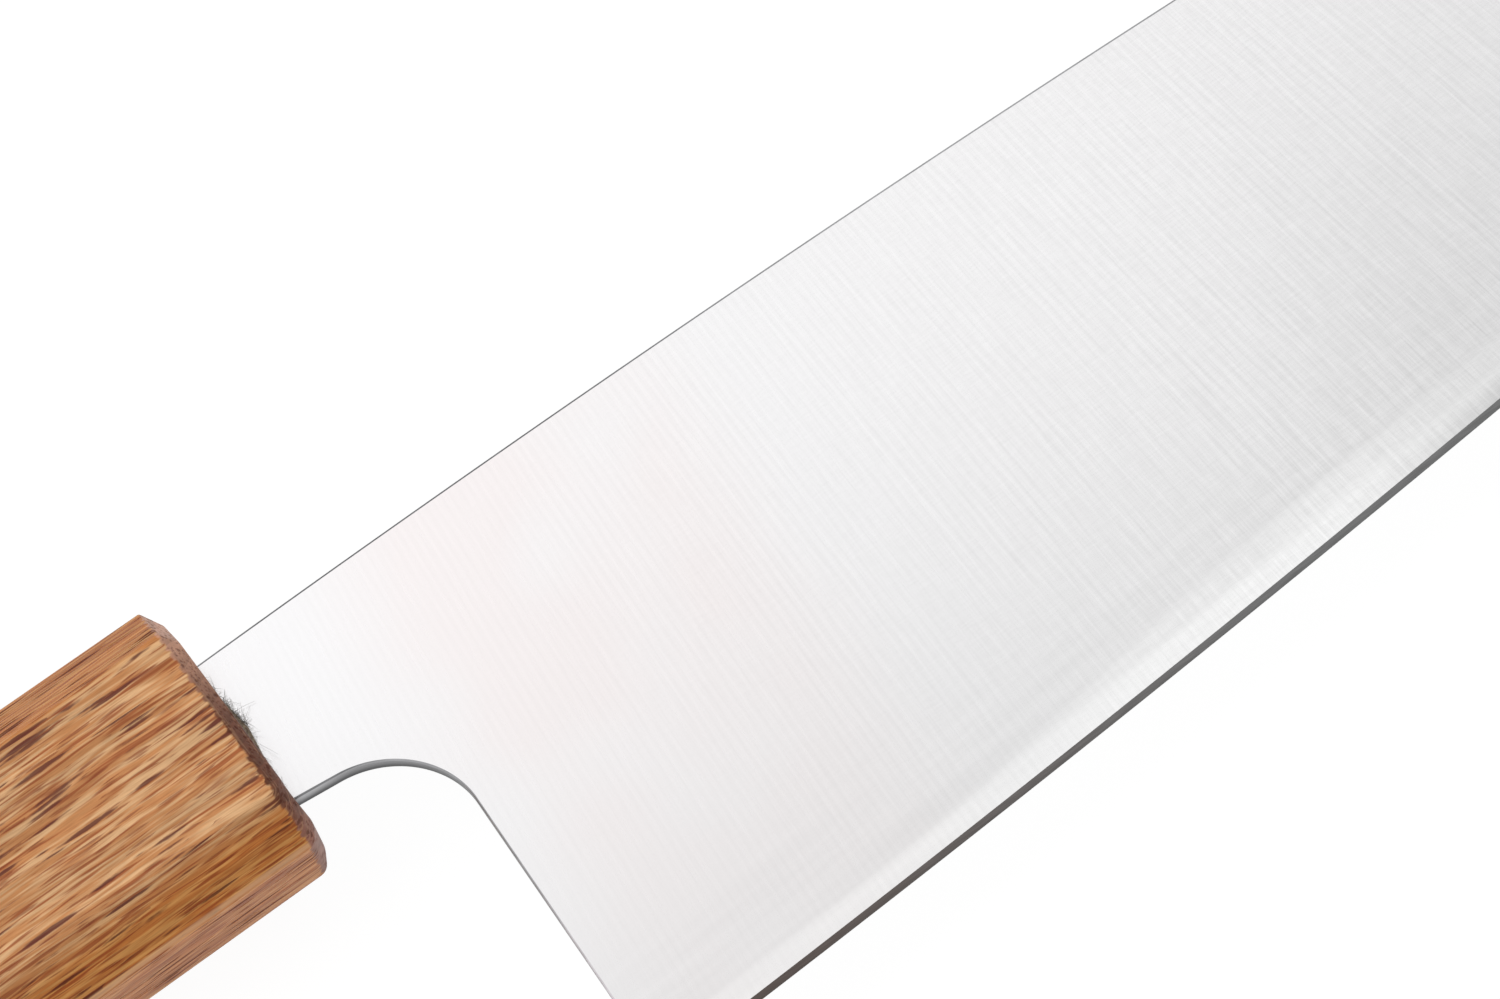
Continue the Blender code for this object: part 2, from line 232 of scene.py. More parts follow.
def wavy_lamination_y(x):
    """Layers' line as grinding lays it bare: three sine waves that die out at the tip."""
    waves = sum(high * np.sin(x / reach + phase) for high, reach, phase in WAVES)
    return lamination_y(x) + waves * np.clip((TIP_X - x) / CALM_LENGTH, 0, 1)


def bevel_y(x):
    """Height of the sharpened facet's upper limit, never past half-way to the line."""
    return edge_y(x) + np.minimum(BEVEL_WIDTH, (lamination_y(x) - edge_y(x)) / 2)


blade_x = np.arange(HEEL_X, TIP_X)
wander = wavy_lamination_y(blade_x) - lamination_y(blade_x)
print("the layers' line wanders over", round(float(np.ptp(wander)), 2), "mm")

# %% Height of the ground face
NECK_Z = 1.1
NOSE_Z = 0.75
TIP_Z = 0.4
CORE_Z = 0.3  # where the ground face crosses the layers' line
BEVEL_Z = 0.14
GRIND_BULGE = 0.3
EASED = 0.15  # radius of the rounded edges
INNER_HEEL_X = HEEL_X + EASED


def smooth_step(share):
    """3 times the share squared less 2 times its cube, between 0 and 1."""
    share = np.clip(share, 0, 1)
    return share**2 * (3 - 2 * share)


def face_z(x, y):
    """Half thickness = core + wedge times share times (1 + bulge times the rest).

    Below the layers' line the share turns into a straight wedge down to the facet, and
    behind the heel the face fades into the flat neck by a smooth step."""
    low = lamination_y(x)
    spine_z = np.interp(x, [HEEL_X, TIP_X - NOSE_LENGTH, TIP_X], [NECK_Z, NOSE_Z, TIP_Z])
    share = (y - low) / (spine_y(x) - low)
    wedge = CORE_Z + (spine_z - CORE_Z) * share * (1 + GRIND_BULGE * (1 - share))
    below = CORE_Z - (CORE_Z - BEVEL_Z) * (low - y) / (low - bevel_y(x))
    ground = np.where(y >= low, wedge, below)
    return ground + (NECK_Z - ground) * smooth_step(1 - x / INNER_HEEL_X)


print("thick at the heel's spine:", round(2 * float(face_z(HEEL_X, spine_y(HEEL_X))), 2), "mm")

# %% [markdown]
# ## The steel cladding
# The two outer layers are soft stainless steel. They run from the tang's end to the
# tip, and from the spine down to the layers' line. A face could be cut out of a plate
# by its outline, which leaves long thin triangles. Here it is ruled: straight columns
# join a point of the upper border to one of the lower border, and fan out round the
# choil, the hollow for a finger behind the heel.

# %% Tang, and the spine moved in
NECK_HEIGHT = 12.6
AXIS_Y = -NECK_HEIGHT / 2
TANG_DEPTHS = [3.0, 4.5, 98.0]
TANG_HALVES = [6.3, 5.1, 2.5]


def tang_half_height(x):
    """Half the tang's height, straight between its stations."""
    return np.interp(-x, TANG_DEPTHS, TANG_HALVES)


def eased_spine(x, ease, run):
    """Spine moved in along its normal: y less the ease times the root of 1 + slope squared."""
    slope = (spine_y(x + run / 2) - spine_y(x - run / 2)) / run
    return spine_y(x) - ease * np.hypot(1, slope)


print("tang's height at its stations, in mm:", [2 * half for half in TANG_HALVES])

# %% Borders behind the heel
NECK_FALL = math.tan(math.radians(6.0))
CHOIL_WIDTH = 7.2
CHOIL_DEPTH = 6.5
FAN_X = 26.0  # where the heel's last column meets the spine
TANG_COLUMNS, NECK_COLUMNS, CHOIL_COLUMNS, HEEL_COLUMNS = 12, 8, 48, 40
NECK_RUN = 1.0  # over which the spine's slope is taken


def borders(ease):
    """Upper and lower border of the blade's layers, moved in by an eased edge.

    Lower: tang, neck, then the choil as a quarter ellipse moved in along its normal,
    and then straight down the heel. Upper: the same x, fanned out from the choil on."""
    tang_x = np.linspace(ease - TANG_DEPTHS[2], -TANG_DEPTHS[1], TANG_COLUMNS)
    tang_x = np.append(tang_x, -TANG_DEPTHS[0])
    choil_x = HEEL_X - CHOIL_WIDTH
    neck_x = np.linspace(0, choil_x, NECK_COLUMNS, endpoint=False)
    turn = np.linspace(0, np.pi / 2, CHOIL_COLUMNS)
    arc_x = choil_x + CHOIL_WIDTH * np.sin(turn)
    arc_y = -NECK_HEIGHT - arc_x * NECK_FALL - CHOIL_DEPTH * (1 - np.cos(turn))
    run = CHOIL_WIDTH * np.cos(turn)
    fall = run * NECK_FALL + CHOIL_DEPTH * np.sin(turn)
    size = np.hypot(run, fall)
    arc = np.column_stack([arc_x + ease * fall / size, arc_y + ease * run / size])
    heel_y = np.linspace(arc[-1, 1], wavy_lamination_y(HEEL_X + ease), HEEL_COLUMNS)[1:]
    heel = np.column_stack([np.full(len(heel_y), HEEL_X + ease), heel_y])
    tang = np.column_stack([tang_x, AXIS_Y - tang_half_height(tang_x) + ease])
    neck = np.column_stack([neck_x, ease - NECK_HEIGHT - neck_x * NECK_FALL])
    fanned = np.linspace(choil_x, FAN_X, len(arc) + len(heel))
    upper_x = np.concatenate([tang_x, neck_x, fanned])
    upper_y = eased_spine(upper_x, ease, NECK_RUN)
    upper_y[: len(tang_x)] = AXIS_Y + tang_half_height(tang_x) - ease
    return np.column_stack([upper_x, upper_y]), np.concatenate([tang, neck, arc, heel])


print("columns behind the heel:", len(borders(EASED)[0]))

# %% Borders from the heel to the tip
BLADE_COLUMNS = 230
BLADE_RUN = 0.1  # shorter than at the neck, because the spine bends at the nose


def blade_borders(ease):
    """The same two borders from the heel to the tip, along the layers' line."""
    lower_x = np.linspace(HEEL_X + ease, TIP_X - ease, BLADE_COLUMNS)
    share = (lower_x - lower_x[0]) / (lower_x[-1] - lower_x[0])
    upper_x = lower_x + (FAN_X - lower_x[0]) * (1 - share) ** 2
    upper = np.column_stack([upper_x, eased_spine(upper_x, ease, BLADE_RUN)])
    return upper, np.column_stack([lower_x, wavy_lamination_y(lower_x)])


print("columns from the heel on:", len(blade_borders(EASED)[0]))

# %% Ruled plans, leaned at the heel
CHOIL_END_Y = -NECK_HEIGHT - HEEL_X * NECK_FALL - CHOIL_DEPTH
HEEL_LEAN = math.tan(math.radians(1.4))


def leaned(plan):
    """New x = x less depth under the choil times the lean, fading out to the tip."""
    x, y = plan[..., 0], plan[..., 1]
    depth = np.clip(CHOIL_END_Y - y, 0, None)
    share = np.clip((TIP_X - EASED - x) / (TIP_X - EASED - INNER_HEEL_X), 0, 1)
    return np.stack([x - depth * HEEL_LEAN * share, y], axis=-1)


def ruled(upper, lower, shares):
    """Point = upper + (lower - upper) times the row's share, then leaned at the heel."""
    return leaned(upper + (lower - upper) * np.asarray(shares)[:, None, None])


heel_corner = leaned(np.array([HEEL_X, edge_y(HEEL_X)]))
print("the heel's corner leans back by", round(float(HEEL_X - heel_corner[0]), 2), "mm")

# %% [markdown]
# ## Faces and rim of one layer
# A stone or a belt has eased the edges of the blade round the spine, the neck and the
# choil. A Bevel modifier could round them, but it would fold up at the thin nose. So a
# quarter-round profile is carried round the border of the face, with a wall under it,
# and the profile gets lower where the layer is thin.

# %% Path round a face, and the directions out of it
def unit(vectors):
    """Each vector over its own length."""
    return vectors / np.linalg.norm(vectors, axis=-1, keepdims=True)


def outward(path):
    """Unit normals to the left of an open path, lengthened at its corners."""
    steps = np.diff(path, axis=0)
    normals = unit(np.stack([-steps[:, 1], steps[:, 0]], axis=1))
    before = np.concatenate([normals[:1], normals])
    after = np.concatenate([normals, normals[-1:]])
    return (before + after) / (1 + (before * after).sum(axis=1))[:, None]


def around(grid, lower_count):
    """Border of a plan: up the heel and back along the underside, up the tang's end,
    forward along the spine and down the tip."""
    underside = grid[-1, :lower_count][::-1]
    return np.concatenate([underside, grid[::-1, 0][1:], grid[0, 1:], grid[1:, -1]])


print("out of a square corner:", outward(np.array([[0.0, 0.0], [1.0, 0.0], [1.0, -1.0]]))[1])

# %% Cladding with its eased rim
ROW_SHARES = np.concatenate([[0, 0.004], np.linspace(0.03, 0.84, 22), np.linspace(0.86, 1, 16)])
RIM_TURNS = np.linspace(0, np.pi / 2, 6)
RIM_SHARE = 0.9  # of the layer's thickness, which the rounding never passes
INNER_Z = 0.27  # the flat plane inside, where layer and core touch


def lowered(points):
    """The same points on the flat plane inside."""
    return np.concatenate([points[..., :2], np.full((*points.shape[:-1], 1), INNER_Z)], axis=-1)


def cladding(name, side):
    """One outer layer: its ground face, and a quarter-round rim with a wall under it."""
    (tang_upper, tang_lower), nose = borders(EASED), blade_borders(EASED)
    upper = np.concatenate([tang_upper, nose[0][1:]])
    lower = np.concatenate([tang_lower, nose[1][1:]])
    plan = ruled(upper, lower, ROW_SHARES)
    face = np.concatenate([plan, face_z(plan[..., :1], plan[..., 1:])], axis=2)
    path = around(plan, len(tang_lower))
    normal = outward(path)
    height = face_z(path[:, 0], path[:, 1])
    ease_z = np.minimum(EASED, RIM_SHARE * np.abs(height - CORE_Z))
    rings = []
    for turn in RIM_TURNS:
        moved = path + normal * EASED * math.sin(turn)
        rings.append(np.column_stack([moved, height - ease_z * (1 - math.cos(turn))]))
    rings.append(np.column_stack([moved, np.full(len(path), INNER_Z)]))
    rings = np.array(rings)
    patches = [(face, 0), (rings, 1)]
    line = face[-1, len(tang_lower) - 1 :]
    for top in (line, rings[:-1, 0], rings[:-1, -1]):
        patches.append((np.stack([top, lowered(top)]), 1))
    return weld(name, [(grid * [1, 1, side], finish) for grid, finish in patches])


right_steel = cladding("right_steel_layer", 1)
left_steel = cladding("left_steel_layer", -1)

# %% [markdown]
# ## The hard core
# The core is a thin plate of harder steel between the two layers. Only its walls at
# the spine, the neck and the choil show, and the band along the edge that grinding has
# laid bare, with the narrow sharpened facet below it. The band could be painted on one
# solid blade, but then no real edge would catch the light where the layers meet.

# %% Core with its ground band and sharpened facet
HIDDEN_SHARES = np.linspace(0, 1, 6)
BAND_SHARES = np.linspace(0, 1, 14)
FACET_SHARES = np.linspace(0, 1, 4)


def core(name):
    """Plate with flat hidden faces, a ground band, and a facet down to the edge."""
    tang_upper, tang_lower = borders(0.0)
    nose_upper, nose_lower = blade_borders(EASED)
    nose_upper[:, 1] = spine_y(nose_upper[:, 0])
    upper = np.concatenate([tang_upper, nose_upper, [[TIP_X, spine_y(TIP_X)]]])
    lower = np.concatenate([tang_lower, nose_lower, [[TIP_X, wavy_lamination_y(TIP_X)]]])
    hidden = ruled(upper, lower, HIDDEN_SHARES)
    bare = len(tang_lower) - 1
    line = lower[bare:]
    facet_top = np.column_stack([line[:, 0], bevel_y(line[:, 0])])
    apex = np.column_stack([line[:, 0], edge_y(line[:, 0])])
    band = ruled(line, facet_top, BAND_SHARES)
    facet = ruled(facet_top, apex, FACET_SHARES)
    band_z = face_z(band[..., 0], band[..., 1])
    facet_z = band_z[-1] * (1 - FACET_SHARES[:, None])
    inner = np.dstack([hidden, np.full(hidden.shape[:2], INNER_Z)])
    band = np.dstack([band, band_z])
    facet = np.dstack([facet, facet_z])
    step = np.stack([inner[-1, bare:], band[0]])
    patches = []
    for side in (1, -1):
        for grid, finish in ((inner, 1), (step, 1), (band, 0), (facet, 2)):
            patches.append((grid * [1, 1, side], finish))
    ends = [(around(inner, len(tang_lower)), 1)]
    for column in (0, -1):
        ends += [(band[:, column], 1), (facet[:, column], 2)]
    for top, finish in ends:
        middle = np.minimum(top, [np.inf, np.inf, INNER_Z])
        wall = np.stack([top, middle, middle * [1, 1, -1], top * [1, 1, -1]])
        patches.append((wall, finish))
    return weld(name, patches, fill=False)


hard_core = core("hard_steel_core")

# %% [markdown]
# ## The wooden handle
# The handle is one stick of oak, planed to eight sides and a little thicker to the
# rear. A cylinder with eight sides could be stretched, but its sides would twist as it
# grows. So each section is worked out from the distances of its sides, which change
# evenly along the handle, and that keeps each side flat. Small arcs round the corners.

# %% Section of the handle
HANDLE_LENGTH = 128.0
FRONT_SIZE = np.array([22.1, 18.6, 3.7])  # height, thickness, height of a slanted side
REAR_SIZE = np.array([24.0, 21.0, 4.3])
CHAMFER_ANGLE = math.radians(34.7)
ARRIS = 0.35
SIDE_ANGLES = np.radians([0, 34.7, 90, 145.3, 180, 214.7, 270, 325.3])
CORNER_STEPS = 5
SIDE_STEPS = 6


def side_distances(x):
    """Distance of each of the eight sides from the axis, for an array of x."""
    share = (-x / HANDLE_LENGTH)[:, None]
    height, thickness, chamfer = (FRONT_SIZE + (REAR_SIZE - FRONT_SIZE) * share).T
    corner_z = thickness / 2 - chamfer / math.tan(CHAMFER_ANGLE)
    slanted = math.cos(CHAMFER_ANGLE) * height / 2 + math.sin(CHAMFER_ANGLE) * corner_z
    return np.stack([height / 2, slanted, thickness / 2, slanted] * 2, axis=1)


def octagon(x, inset):
    """Rounded eight-sided sections, as points (y, z) for arrays of x and inset.

    A corner's arc is centred where two neighbouring sides, moved in by the inset and
    the rounding, cross. Side points are spread evenly between the arcs."""
    distance = side_distances(x) - inset[:, None] - ARRIS
    here, there = SIDE_ANGLES, np.roll(SIDE_ANGLES, -1)
    there = np.where(there < here, there + 2 * np.pi, there)
    next_distance = np.roll(distance, -1, axis=1)
    sine = np.sin(there - here)
    centre_y = (distance * np.sin(there) - next_distance * np.sin(here)) / sine
    centre_z = (next_distance * np.cos(here) - distance * np.cos(there)) / sine
    share = np.linspace(0, 1, CORNER_STEPS)
    angle = here[:, None] + (there - here)[:, None] * share
    arc_y = centre_y[..., None] + ARRIS * np.cos(angle)
    arc_z = centre_z[..., None] + ARRIS * np.sin(angle)
    arcs = np.stack([arc_y, arc_z], axis=-1)
    run = np.linspace(0, 1, SIDE_STEPS + 1)[1:-1][:, None]
    ends, starts = arcs[:, :, -1:], np.roll(arcs, -1, axis=1)[:, :, :1]
    sides = ends + (starts - ends) * run
    loop = np.concatenate([arcs, sides], axis=2).reshape(len(x), -1, 2)
    return np.concatenate([loop, loop[:, :1]], axis=1)


front_section = octagon(np.zeros(1), np.zeros(1))[0]
print("front section in mm:", np.ptp(front_section, axis=0).round(2))

# %% [markdown]
# ## The handle's ends and its slot
# Both ends have a flat bevel, crisp above and worn below by the hand. The front end is
# cut a little off square, and its bevel reaches further in over the end than back. The
# skin is carried over both bevels as one profile, and the slot's outline is pulled out
# of the skin's own loop, so the front face between them needs no Boolean cut.

# %% Profile over both bevels
FRONT_BEVEL = 1.7
FRONT_DEPTH = 1.0
REAR_BEVEL = 1.6
BEVEL_EASES = (0.15, 0.6)  # how far a bevel's edges are rounded, at the top and the bottom
EASE_STEPS = 5
END_LIP = 1.0  # how far the skin runs on over an end face
SKIN_PROFILE = (  # x, and the inset from the handle's sides, from front to rear
    (0.0, FRONT_BEVEL + END_LIP),
    (0.0, FRONT_BEVEL),
    (-FRONT_DEPTH, 0.0),
    (REAR_BEVEL - HANDLE_LENGTH, 0.0),
    (-HANDLE_LENGTH, REAR_BEVEL),
    (-HANDLE_LENGTH, REAR_BEVEL + END_LIP),
)


def eased_profile(points, radius):
    """A bent line whose corners are cut by a quadratic curve of a given reach."""
    points = np.array(points, float)
    line = [points[:1]]
    for before, corner, after in zip(points, points[1:], points[2:]):
        start = corner + (before - corner) * radius / np.linalg.norm(before - corner)
        end = corner + (after - corner) * radius / np.linalg.norm(after - corner)
        share = np.linspace(0, 1, EASE_STEPS)[:, None]
        line.append(start * (1 - share) ** 2 + corner * 2 * share * (1 - share) + end * share**2)
    return np.concatenate([*line, points[-1:]])


print("points of the profile:", len(eased_profile(SKIN_PROFILE, BEVEL_EASES[0])))

# %% Skin of the handle, slanted, swelling and worn
FRONT_SLANT = math.tan(math.radians(0.8))
HANDLE_Y = AXIS_Y + 0.2  # the handle's middle lies a little above the tang's
FRONT_SWELL = 0.28  # how much further forward the front's lowest part stands
SWELL_Y, SWELL_FADE = -6.8, 3.2  # where that starts, and how far down it is full
WORN_DEPTH = 8.0  # under the handle's middle, where the worn edges are fully worn


def handle_skin(stations, insets):
    """Rings of the handle's skin: the section at each x, with x slanted by its height,
    and swelling forward at the front's lowest part. Each point is then worked out once
    more for its own x, which keeps the sides flat."""
    nearness = (1 + stations / HANDLE_LENGTH)[:, None]
    loops = octagon(stations, insets)
    y = loops[..., 0]
    x = stations[:, None] - FRONT_SLANT * nearness * y
    x += FRONT_SWELL * nearness * smooth_step((SWELL_Y - y) / SWELL_FADE)
    shape = loops.shape[:2]
    sizes = np.repeat(insets, shape[1])
    exact = octagon(x.reshape(-1), sizes).reshape(*shape, shape[1], 2)
    turn = np.arange(shape[1])
    loops = exact[:, turn, turn]
    return np.dstack([x, HANDLE_Y + loops[..., 0], loops[..., 1]])


def worn_skin():
    """Crisp skin + (worn - crisp) times a smooth step of the depth under the middle."""
    crisp, worn = (handle_skin(*eased_profile(SKIN_PROFILE, ease).T) for ease in BEVEL_EASES)
    return crisp + (worn - crisp) * smooth_step((HANDLE_Y - crisp[..., 1:2]) / WORN_DEPTH)


skin = worn_skin()
print("rings of the skin and points in each:", *skin.shape[:2])

# %% Slot for the tang, and the closed handle
SLOT_Z = 1.5
SLOT_MARGIN = 1.1
SLOT_DEPTH = 99.1
FACE_STEPS = 5
NEARLY_ZERO = 1e-9


def slot_loop(loop, x, half_height):
    """Outline of the slot in the plane at x: each point of a loop round the axis is
    pulled straight to the axis until it meets the slot, and four meet its corners."""
    y, z = loop[:, 1] - AXIS_Y, loop[:, 2]
    reach_y = half_height / np.maximum(abs(y), NEARLY_ZERO)
    reach = np.minimum(reach_y, SLOT_Z / np.maximum(abs(z), NEARLY_ZERO))
    points = np.stack([y * reach, z * reach], axis=1)
    for corner in np.array([[1, 1], [-1, 1], [-1, -1], [1, -1]]) * [half_height, SLOT_Z]:
        points[np.argmin(np.linalg.norm(points[:-1] - corner, axis=1))] = corner
    points[-1] = points[0]
    y = AXIS_Y + points[:, 0]
    return np.column_stack([x - FRONT_SLANT * (y - HANDLE_Y), y, points[:, 1]])


def handle(name, skin):
    """Skin, slot, and the front face between them = loop + (slot - loop) times a share."""
    slot_x = (0.0, -TANG_DEPTHS[0], -TANG_DEPTHS[1], -SLOT_DEPTH)
    halves = (TANG_HALVES[0], *TANG_HALVES)
    slot = [slot_loop(skin[0], x, half + SLOT_MARGIN) for x, half in zip(slot_x, halves)]
    slot = np.array(slot)
    shares = np.linspace(0, 1, FACE_STEPS)[:, None, None]
    face = skin[0] + (slot[0] - skin[0]) * shares
    return weld(name, [(skin, 0), (face, 0), (slot, 0)])


wood_handle = handle("oak_handle", skin)

# %% [markdown]
# ## Resin where the tang enters the wood
# The maker sets the tang in resin and wipes the surplus off, which leaves a low
# uneven bead round the neck, thicker where wiping missed it. A bevelled curve could
# give an even one. This is a closed tube instead, carried round the neck's section,
# because its two radii can then change along the way.

# %% Path and radii of the bead
BEAD_HALVES = np.array([6.85, 1.35])  # of the path, half its height and its thickness
BEAD_POWER = 0.28  # of cosine and sine: the smaller, the squarer the path
BEAD_WAVES = ((0.05, 5, 1), (0.04, 13, 0), (0.03, 31, 2))  # height, count, phase
BEAD_ACROSS = (0.26, 0.20, 0.28)  # base, and more on the lump and at the ends
BEAD_ALONG = (0.20, 0.42, 0.6)  # base, more on the lump, and the share lost at the ends
ENDS_POWER = 12
LUMP_Y = -5.7  # middle of the lump that was left on the right face
LUMP_REACH = 1.5


def lump_height(y):
    """Share of the lump at y: a bell of the given reach."""
    return np.exp(-(((y - LUMP_Y) / LUMP_REACH) ** 2))


def bead_path(turn):
    """Superellipse: half sizes times signed powers of cosine and sine of the turn."""
    circle = np.stack([np.cos(turn), np.sin(turn)], axis=-1)
    return BEAD_HALVES * np.sign(circle) * np.abs(circle) ** BEAD_POWER


def bead_radii(turn, y, z):
    """Radii across and along the neck: a base, slow sine waves and one lump. At the
    top and the bottom the bead is broad and low, and fills the slot's ends."""
    waves = sum(high * np.sin(count * turn + phase) for high, count, phase in BEAD_WAVES)
    lump = lump_height(y) * (z > 0)
    ends = abs((y - AXIS_Y) / BEAD_HALVES[0]) ** ENDS_POWER
    base, on_lump, at_ends = BEAD_ACROSS
    across = base + waves + on_lump * lump + at_ends * ends
    base, on_lump, lost = BEAD_ALONG
    return across, (base + waves) * (1 - lost * ends) + on_lump * lump


print("the bead's path is", (2 * BEAD_HALVES).round(1), "mm high and thick")

# %% Bead of resin
BEAD_TURNS = 320
BEAD_SIDES = 14
TURN_STEP = 1e-3  # for the direction of the path


def resin_bead(name):
    """Closed tube: path + normal times radius times cosine + x times radius times sine."""
    turn = np.linspace(0, 2 * np.pi, BEAD_TURNS + 1)
    path = bead_path(turn)
    step = bead_path(turn + TURN_STEP) - bead_path(turn - TURN_STEP)
    normal = unit(np.stack([step[:, 1], -step[:, 0]], axis=1))
    across, along = bead_radii(turn, AXIS_Y + path[:, 0], path[:, 1])
    around_tube = np.linspace(0, 2 * np.pi, BEAD_SIDES + 1)[:, None]
    y = AXIS_Y + path[:, 0] + normal[:, 0] * across * np.cos(around_tube)
    z = path[:, 1] + normal[:, 1] * across * np.cos(around_tube)
    x = -FRONT_SLANT * (y - HANDLE_Y) + along * np.sin(around_tube)
    return weld(name, [(np.stack([x, y, z], axis=-1), 0)])


bead = resin_bead("resin_bead")

# %% [markdown]
# ## Fibres caught in the resin
# Wood and sanding fibres have stuck to the lump and stand off it like short hairs.
# Blender's hair could grow them, but it isn't a mesh. Each is a thin tube along a
# parabola here. All of them are worked out as one array, with seeded random starts,
# lengths and bends, so that every run gives the same tuft.

# %% Tuft of fibres
FIBRES = 300
FIBRE_POINTS = 8
FIBRE_SIDES = 5
FIBRE_RADIUS = 0.017
FIBRE_TAPER = 0.7  # of the radius, lost at the free end
ON_LUMP = (0.3, 1.15)  # mean and spread of y from the lump's middle
ANYWHERE = (-6.2, 5.0)  # lowest and highest y from there
START_X = (0.1, 0.45)  # base, and the random part on the lump
START_Z = (1.2, 0.4)
HEADING, HEADING_SPREAD = [0.55, 0.4, 0.2], [0.5, 1.0, 0.35]
BEND, BEND_SPREAD = 1.3, [0.6, 1.0, 0.5]
LEAN_BACK = [0.35, 0, 0]
LENGTHS = (0.42, 0.6)  # shortest, and the random part, which is squared
SHORTER = 0.75  # off the lump
BESIDE = [0.3, 0.2, 0.93]  # any direction that no fibre follows


def fibres(name):
    """Point = start + direction times run + bend times run squared, in a thin tube.

    Every third one stands anywhere along the neck, and the others on the lump."""
    random = np.random.default_rng(7)
    on_lump = random.normal(*ON_LUMP, FIBRES)
    anywhere = random.uniform(*ANYWHERE, FIBRES)
    start_y = LUMP_Y + np.where(np.arange(FIBRES) % 3 == 0, anywhere, on_lump)
    height = lump_height(start_y)
    start_x = START_X[0] + START_X[1] * height * random.random(FIBRES)
    start_z = START_Z[0] + START_Z[1] * random.random(FIBRES)
    start = np.column_stack([start_x, start_y, start_z])
    heading = unit(random.normal(0, 1, (FIBRES, 3)) * HEADING_SPREAD + HEADING)
    bend = random.normal(0, BEND, (FIBRES, 3)) * BEND_SPREAD - LEAN_BACK
    length = LENGTHS[0] + LENGTHS[1] * random.random(FIBRES) ** 2
    length = (length * (SHORTER + (1 - SHORTER) * height))[:, None, None]
    run = np.linspace(0, 1, FIBRE_POINTS)[None, :, None]
    path = start[:, None] + heading[:, None] * run * length + bend[:, None] * (run * length) ** 2
    tangent = np.gradient(path, axis=1)
    side = unit(np.cross(tangent, BESIDE))
    other = unit(np.cross(tangent, side))
    turn = np.linspace(0, 2 * np.pi, FIBRE_SIDES + 1)[:, None]
    ring = side[:, :, None] * np.cos(turn) + other[:, :, None] * np.sin(turn)
    tube = path[:, :, None] + FIBRE_RADIUS * (1 - FIBRE_TAPER * run[..., None]) * ring
    return weld(name, [(one, 0) for one in tube])


tuft = fibres("resin_fibres")

# %% [markdown]
# ## Adding nodes
# A finish is a small network of nodes. It could be wired by hand in the shader editor,
# but a written one can be read from top to bottom and changed in one place. One
# function adds a node, sets it and links it. Colours are the sRGB hex codes that a
# picture editor shows, and one function turns them to linear light.

# %% Short names for kinds of node
MATH, VECTOR, MAP = "ShaderNodeMath", "ShaderNodeVectorMath", "ShaderNodeMapRange"
NOISE, BUMP, GREY = "ShaderNodeTexNoise", "ShaderNodeBump", "ShaderNodeCombineColor"
SPLIT, JOIN = "ShaderNodeSeparateXYZ", "ShaderNodeCombineXYZ"
OPERATIONS = ("ADD", "SUBTRACT", "MULTIPLY", "DIVIDE", "MULTIPLY_ADD", "MAXIMUM", "SINE")
PLUS, MINUS, TIMES, OVER, TIMES_PLUS, LARGER, SINE = (
    (MATH, {"operation": name}) for name in OPERATIONS
)
EACH_PLUS, EACH_MINUS, EACH_TIMES, EACH_TIMES_PLUS = (  # the same for x, y and z
    (VECTOR, {"operation": name}) for name in ("ADD", "SUBTRACT", "MULTIPLY", "MULTIPLY_ADD")
)
MIX = ("ShaderNodeMix", {"data_type": "RGBA"})
TINT = ("ShaderNodeMix", {"data_type": "RGBA", "blend_type": "MULTIPLY"})
SMOOTH = (MAP, {"interpolation_type": "SMOOTHSTEP"})
HEIGHT = ("ShaderNodeAttribute", {"attribute_name": "height_mm"})  # over the cutting edge
DEPTH = ("ShaderNodeAttribute", {"attribute_name": "depth_mm"})  # under the spine
print("what a Math node does here:", ", ".join(OPERATIONS).lower())

# %% Colours, and the function that adds a node
def linear(code):
    """sRGB to linear light: value / 12.92 if small, else ((value + 0.055) / 1.055) to 2.4."""
    values = [int(code[i : i + 2], 16) / 255 for i in (0, 2, 4)]
    return (*[v / 12.92 if v <= 0.04045 else ((v + 0.055) / 1.055) ** 2.4 for v in values], 1.0)


def plug(socket, value):
    """Link a socket or a node's first open output, or set a number or a hex code."""
    if isinstance(value, bpy.types.Node):
        value = next(output for output in value.outputs if output.enabled)
    if isinstance(value, bpy.types.NodeSocket):
        socket.id_data.links.new(value, socket)
    else:
        socket.default_value = linear(value) if isinstance(value, str) else value


def feed(node, **named):
    """Plug values into a node's inputs by name, with _ for a space."""
    for key, value in named.items():
        plug(node.inputs[key.replace("_", " ")], value)
    return node


def add_node(tree, kind, *values, **named):
    """A new node of a kind, or of (kind, settings). Values go to its open inputs in
    order, and named ones by name."""
    kind, settings = kind if isinstance(kind, tuple) else (kind, {})
    node = tree.nodes.new(kind)
    for key, value in settings.items():
        setattr(node, key, value)
    for socket, value in zip([entry for entry in node.inputs if entry.enabled], values):
        plug(socket, value)
    return feed(node, **named)


def new_finish(name):
    """A material, the function that adds a node to it, and its shader."""
    material = bpy.data.materials.new(name)
    material.use_nodes = True
    tree = material.node_tree
    return material, partial(add_node, tree), tree.nodes["Principled BSDF"]


print("grey 808080 in linear light:", round(linear("808080")[0], 3))

# %% [markdown]
# ## Ground steel
# The faces are stainless steel, ground across on a belt or a wheel. That leaves fine
# lines, which spread like rays from a point far above the spine, as the blade was
# swung about the grinder's arm. Straight lines would be simpler, but would slant wrong
# at one end. So x over y, seen from that point, gives the position across the rays.
# The belt's regular ripples are a sine of it, which slow noise shifts and weakens, and
# the scratches between them are noise stretched along the rays, because no two are
# alike.

